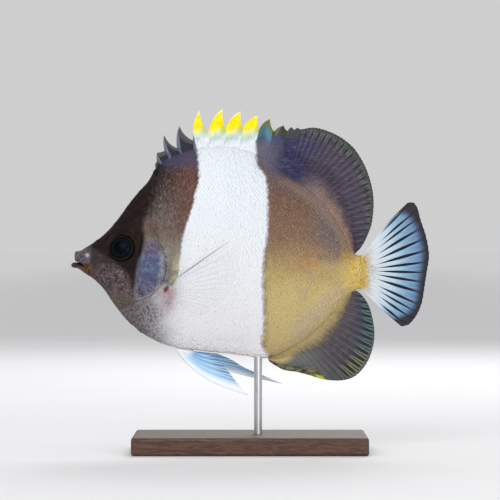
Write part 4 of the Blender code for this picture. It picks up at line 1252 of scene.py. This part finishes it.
def anal_look():
    """The anal fin: grey and purple, with teal rays at the rear and yellow ones below."""
    look, u, v, fine = fin_look("anal_fin")
    patchy = look.noise(*PATCHES)
    ray = rays(u * ANAL_RAYS, v)
    hair = abs(fract(u * ANAL_RAYS * 3) - 0.5)
    fine_rays = rise(hair, 0.28, 0.46) * rise(v, 0.95, 0.3)
    navy = rise(u, 0.55, 0.85) * rise(v + (patchy - 0.5) * 0.2, 0.45, 0.70)
    foot = rise(v + (patchy - 0.5) * 0.2 - rise(u, 0.3, 0.1) * 0.4, 0.30, 0.02)
    glow = mix(rise(u + (patchy - 0.5) * 0.12, 0.68, 0.56), (74, 106, 110), (126, 128, 68))
    glow = mix(rise(fine, 0.4, 0.7) * 0.4, glow, (160, 176, 150))
    rim = rise(v + (patchy - 0.5) * 0.22, 0.66, 0.84) * rise(u, 0.40, 0.50)
    edge = rise(u + (patchy - 0.5) * 0.06, 0.36, 0.30)
    front = edge * rise(v + (fine - 0.5) * 0.25, 0.52, 0.86)
    streak = rise(look.noise(0.30, 3, 0.6, (1, 1, 2.2), 0.35), 0.46, 0.58)
    bright = rise(abs(u - 0.30), 0.034, 0.012) * rise(v + (fine - 0.5) * 0.1, 0.82, 0.93)
    skin = cover(
        mix(rise(patchy, 0.4, 0.65), (58, 54, 62), (74, 69, 79)),
        (rise(u, 0.50, 0.28) * 0.7, (98, 106, 104)),
        (fine_rays * (0.3 + rise(u, 0.6, 0.3) * 0.35), (150, 145, 136)),
        (navy * 0.6, (46, 60, 80)),
        (ray * 0.15, (120, 115, 120)),
        ((1 - ray) * rise(v, 0.3, 0.7) * 0.25, (36, 32, 42)),
        (foot * 0.9, (186, 164, 114)),
        (rim * ray * 0.8, glow),
        (rim * (1 - ray) * 0.75, (18, 26, 30)),
        (rise(v, 0.955, 0.99) * 0.6, (60, 66, 64)),
        (front * streak * 0.75, (134, 128, 58)),
        (front * (1 - streak) * 0.75, (36, 32, 28)),
        (bright * 0.9, (190, 186, 58)))
    look.bump(fine * 0.7 + ray * 0.5, 0.05)
    thin = (1 - ray) * rise(v, 0.90, 0.98) * rise(u, 0.38, 0.5) * 0.3
    return look.paint(Base_Color=skin, Roughness=0.38 + fine * 0.2, Alpha=1 - thin)


def tail_look():
    """The tail fin: white rays that turn blue, dark gaps between them and a grey margin."""
    look, u, v, fine = fin_look("tail_fin")
    index = look.line(u, TAIL_GAPS)
    off = abs(fract(index + 0.5) - 0.5)
    stalk = rise(look.x + (fine - 0.5) * 4, 54.8, 50.4) * rise(abs(look.z + 9.9), 8.4, 6.2)
    fork = abs(off - 0.05 - rise(v, 0.35, 1.1) * 0.28)
    hair = abs(fract(index * 8) - 0.5)
    from_middle = abs(u - 0.5)
    starts = 0.19 + from_middle * from_middle * 0.9
    width = rise(v, starts - 0.05, starts + 0.30) * rise(v, 1.02, 0.62) * 0.185
    gap = rise(off - width, 0.03, -0.03) * rise(v, starts - 0.05, starts + 0.05)
    corner = rise(from_middle, 0.30, 0.5)
    rim = rise(v + corner * 0.13 + (fine - 0.5) * 0.08, 0.85, 0.98)
    edge = rise(from_middle, 0.472, 0.496) * rise(v, 0.45, 0.75)
    skin = cover(
        ramp(v + (fine - 0.5) * 0.12 - off * 0.10, (0.0, (200, 198, 190)), (0.16, (206, 210, 212)),
             (0.45, (198, 216, 230)), (0.66, (132, 170, 198)), (0.83, (86, 118, 154)),
             (0.95, (70, 74, 100))),
        (stalk, mix(rise(look.noise(*PATCHES), 0.45, 0.65), *STALK_GOLD)),
        (rise(fork, 0.09, 0.02) * rise(v, 0.2, 0.6) * rise(v, 1.0, 0.8) * 0.18, (226, 236, 246)),
        (rise(hair, 0.20, 0.45) * rise(v, 0.2, 0.6) * 0.65, (88, 120, 156)),
        (gap, (6, 18, 34)),
        (most(rim, edge * 0.6), mix(corner, (38, 37, 45), (44, 42, 50))))
    look.bump(fine * 0.6 - gap * 0.8, 0.06)
    thin = rim * rise(off, 0.0, 0.3) * 0.12
    return look.paint(Base_Color=skin, Roughness=0.36 + fine * 0.2, Alpha=1 - thin)


def pectoral_look():
    """The clear pectoral fins, in which mostly the first ray shows."""
    look, u, v, fine = fin_look("pectoral_fins", 0.35)
    ray = rays(u * PECTORAL_RAYS, v, 0.4, 0.15)
    first = rise(u * v, 0.013, 0.007)
    skin = cover(
        mix(ray, (216, 218, 222), (176, 180, 190)),
        (rise(v, 0.18, 0.03), (198, 180, 184)),
        (first, (128, 128, 138)))
    shown = 0.03 + ray * 0.09 * rise(v, 1.1, 0.3) + rise(v, 0.25, 0.0) * 0.18
    shown = most(shown, first * rise(v, 1.15, 0.5) * rise(v, 0.03, 0.4) * 0.55)
    look.bump(fine * 0.5 + ray * 0.5, 0.04)
    return look.paint(Base_Color=skin, Roughness=0.30 + fine * 0.15, Alpha=shown)


def pelvic_look():
    """The pelvic fins: a white front edge and light blue behind it."""
    look, u, v, fine = fin_look("pelvic_fins", 0.25)
    ray = rays(u * PELVIC_RAYS, v, 0.25, 0.16)
    hair = abs(fract(u * PELVIC_RAYS * 5) - 0.5)
    skin = cover(
        mix(rise(u + v * 0.25, 0.25, 0.95), (178, 215, 240), (112, 166, 208)),
        (rise(v, 0.62, 0.9) * rise(u, 0.15, 0.6) * 0.6, (58, 100, 156)),
        (ray * 0.7, (206, 230, 246)),
        (rise(hair, 0.2, 0.45) * 0.25, (112, 154, 196)),
        (rise(u + (fine - 0.5) * 0.1, 0.34, 0.12), (232, 238, 247)),
        (rise(v, 0.22, 0.02), (222, 226, 232)))
    look.bump(fine * 0.6 + ray * 0.6, 0.05)
    thin = (1 - ray) * rise(v, 0.6, 0.95) * rise(u, 0.12, 0.25) * 0.2
    return look.paint(Base_Color=skin, Roughness=0.34 + fine * 0.2, Alpha=1 - thin)


def eye_look():
    """The eye: a dark ring round a pupil with a teal edge and a painted blue reflection on its rear side,
    under a clear glossy front.
    """
    look = Look("eye", Specular_IOR_Level=0.02, Coat_Weight=0.02, Coat_Roughness=0.08)
    away, forward = look.attribute("away"), look.attribute("forward")
    fine = look.noise(1.5)
    skin = ramp(away + (fine - 0.5) * 0.03, (0.0, (2, 3, 6)), (0.50, (4, 6, 10)), (0.63, (10, 24, 32)),
                (0.68, (6, 8, 10)), (0.84, (10, 10, 11)), (0.90, (46, 45, 36)), (0.97, (18, 16, 16)),
                (1.0, (14, 11, 11)))
    # Painted reflection: a blue patch on the pupil's rear side
    skin = mix(rise(forward, 0.0, 0.5) * rise(away, 0.66, 0.4) * 0.5, skin, (8, 18, 40))
    look.bump(rise(away, 0.64, 0.70) * 0.6 + fine * 0.1, 0.05)
    return look.paint(Base_Color=skin, Roughness=0.22 + fine * 0.12)


def wood_look():
    look = Look("stand_wood", Specular_IOR_Level=0.4)
    grain = look.noise(0.35, 5, 0.6, (0.10, 1, 1))
    pores = look.noise(2.2, 3, 0.7, (0.06, 1, 1))
    rings = rise(fract(grain * 7), 0.1, 0.9)
    skin = cover(mix(rings, (58, 38, 28), (92, 62, 44)), (rise(pores, 0.55, 0.7) * 0.6, (36, 24, 18)))
    look.bump(pores * 0.7 + rings * 0.2, 0.06, 0.5)
    return look.paint(Base_Color=skin, Roughness=0.36 + pores * 0.2)


def steel_look():
    look = Look("stand_steel", Metallic=1.0)
    brushed = look.noise(3.0, 3, 0.6, (1, 1, 0.03))
    cloud = look.noise(0.2, 2, 0.5)
    skin = mix(brushed, (176, 176, 178), (206, 206, 208))
    look.bump(brushed, 0.03, 0.4)
    return look.paint(Base_Color=skin, Roughness=0.24 + brushed * 0.14 + cloud * 0.08)


def make_looks():
    return {"skin": fish_look(), "spiny": spiny_look(), "dorsal": dorsal_look(), "anal": anal_look(),
            "tail": tail_look(), "pectoral": pectoral_look(), "pelvic": pelvic_look(), "eye": eye_look(),
            "wood": wood_look(), "steel": steel_look()}


# Room

def make_floor():
    shape = bmesh.new()
    bmesh.ops.create_grid(shape, x_segments=1, y_segments=1, size=60.0)
    mesh = new_mesh(shape, "floor")
    look = Look("floor", Roughness=0.8, Specular_IOR_Level=0.1)
    near = mix(look.noise(0.01, 2, 0.5), (240, 240, 242), (234, 234, 236))
    # Painted light: the floor grows whiter with distance, making up for the dimmer light far off so that it
    # meets the sky without a line
    far = rise(look.distance((0, 0)), 200, 1200)
    mesh.materials.append(look.paint(Base_Color=mix(far, near, (253, 253, 253))))
    floor = bpy.data.objects.new("floor", mesh)
    bpy.context.scene.collection.objects.link(floor)


def area_light(name, place, size, power):
    lamp = bpy.data.lights.new(name, "AREA")
    lamp.shape = "DISK"
    lamp.size = size
    lamp.energy = power
    holder = bpy.data.objects.new(name, lamp)
    holder.location = place
    aim = Vector((0, 0, AXIS_HEIGHT)) - Vector(place)
    holder.rotation_euler = aim.to_track_quat("-Z", "Y").to_euler()
    bpy.context.scene.collection.objects.link(holder)


def make_room():
    make_floor()
    world = bpy.data.worlds.new("studio")
    world.use_nodes = True
    sky = world.node_tree.nodes["Background"]
    sky.inputs["Color"].default_value = (1, 1, 1, 1)
    sky.inputs["Strength"].default_value = SKY_LIGHT
    scene = bpy.context.scene
    scene.world = world
    for light in LIGHTS:
        area_light(*light)
    scene.view_settings.view_transform = "Standard"
    camera = bpy.data.cameras.new("camera")
    camera.lens = camera.sensor_width * CAMERA_DISTANCE / VIEW_WIDTH
    holder = bpy.data.objects.new("camera", camera)
    holder.location = (0, -CAMERA_DISTANCE, AXIS_HEIGHT)
    holder.rotation_euler = (math.pi / 2, 0, 0)
    scene.collection.objects.link(holder)
    scene.camera = holder


def main():
    looks = make_looks()
    rng = np.random.default_rng(7)
    skin = make_skin(looks["skin"])
    make_coat(skin, looks["skin"], rng)
    make_fins(looks, rng)
    for side, word in SIDES:
        make_eye(side, "eyeball_" + word, looks["eye"], "eye_" + word)
    for node, look in (("stand_base", "wood"), ("stand_rod", "steel")):
        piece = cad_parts[node]
        piece.data.materials.clear()
        piece.data.materials.append(looks[look])
    make_room()


main()
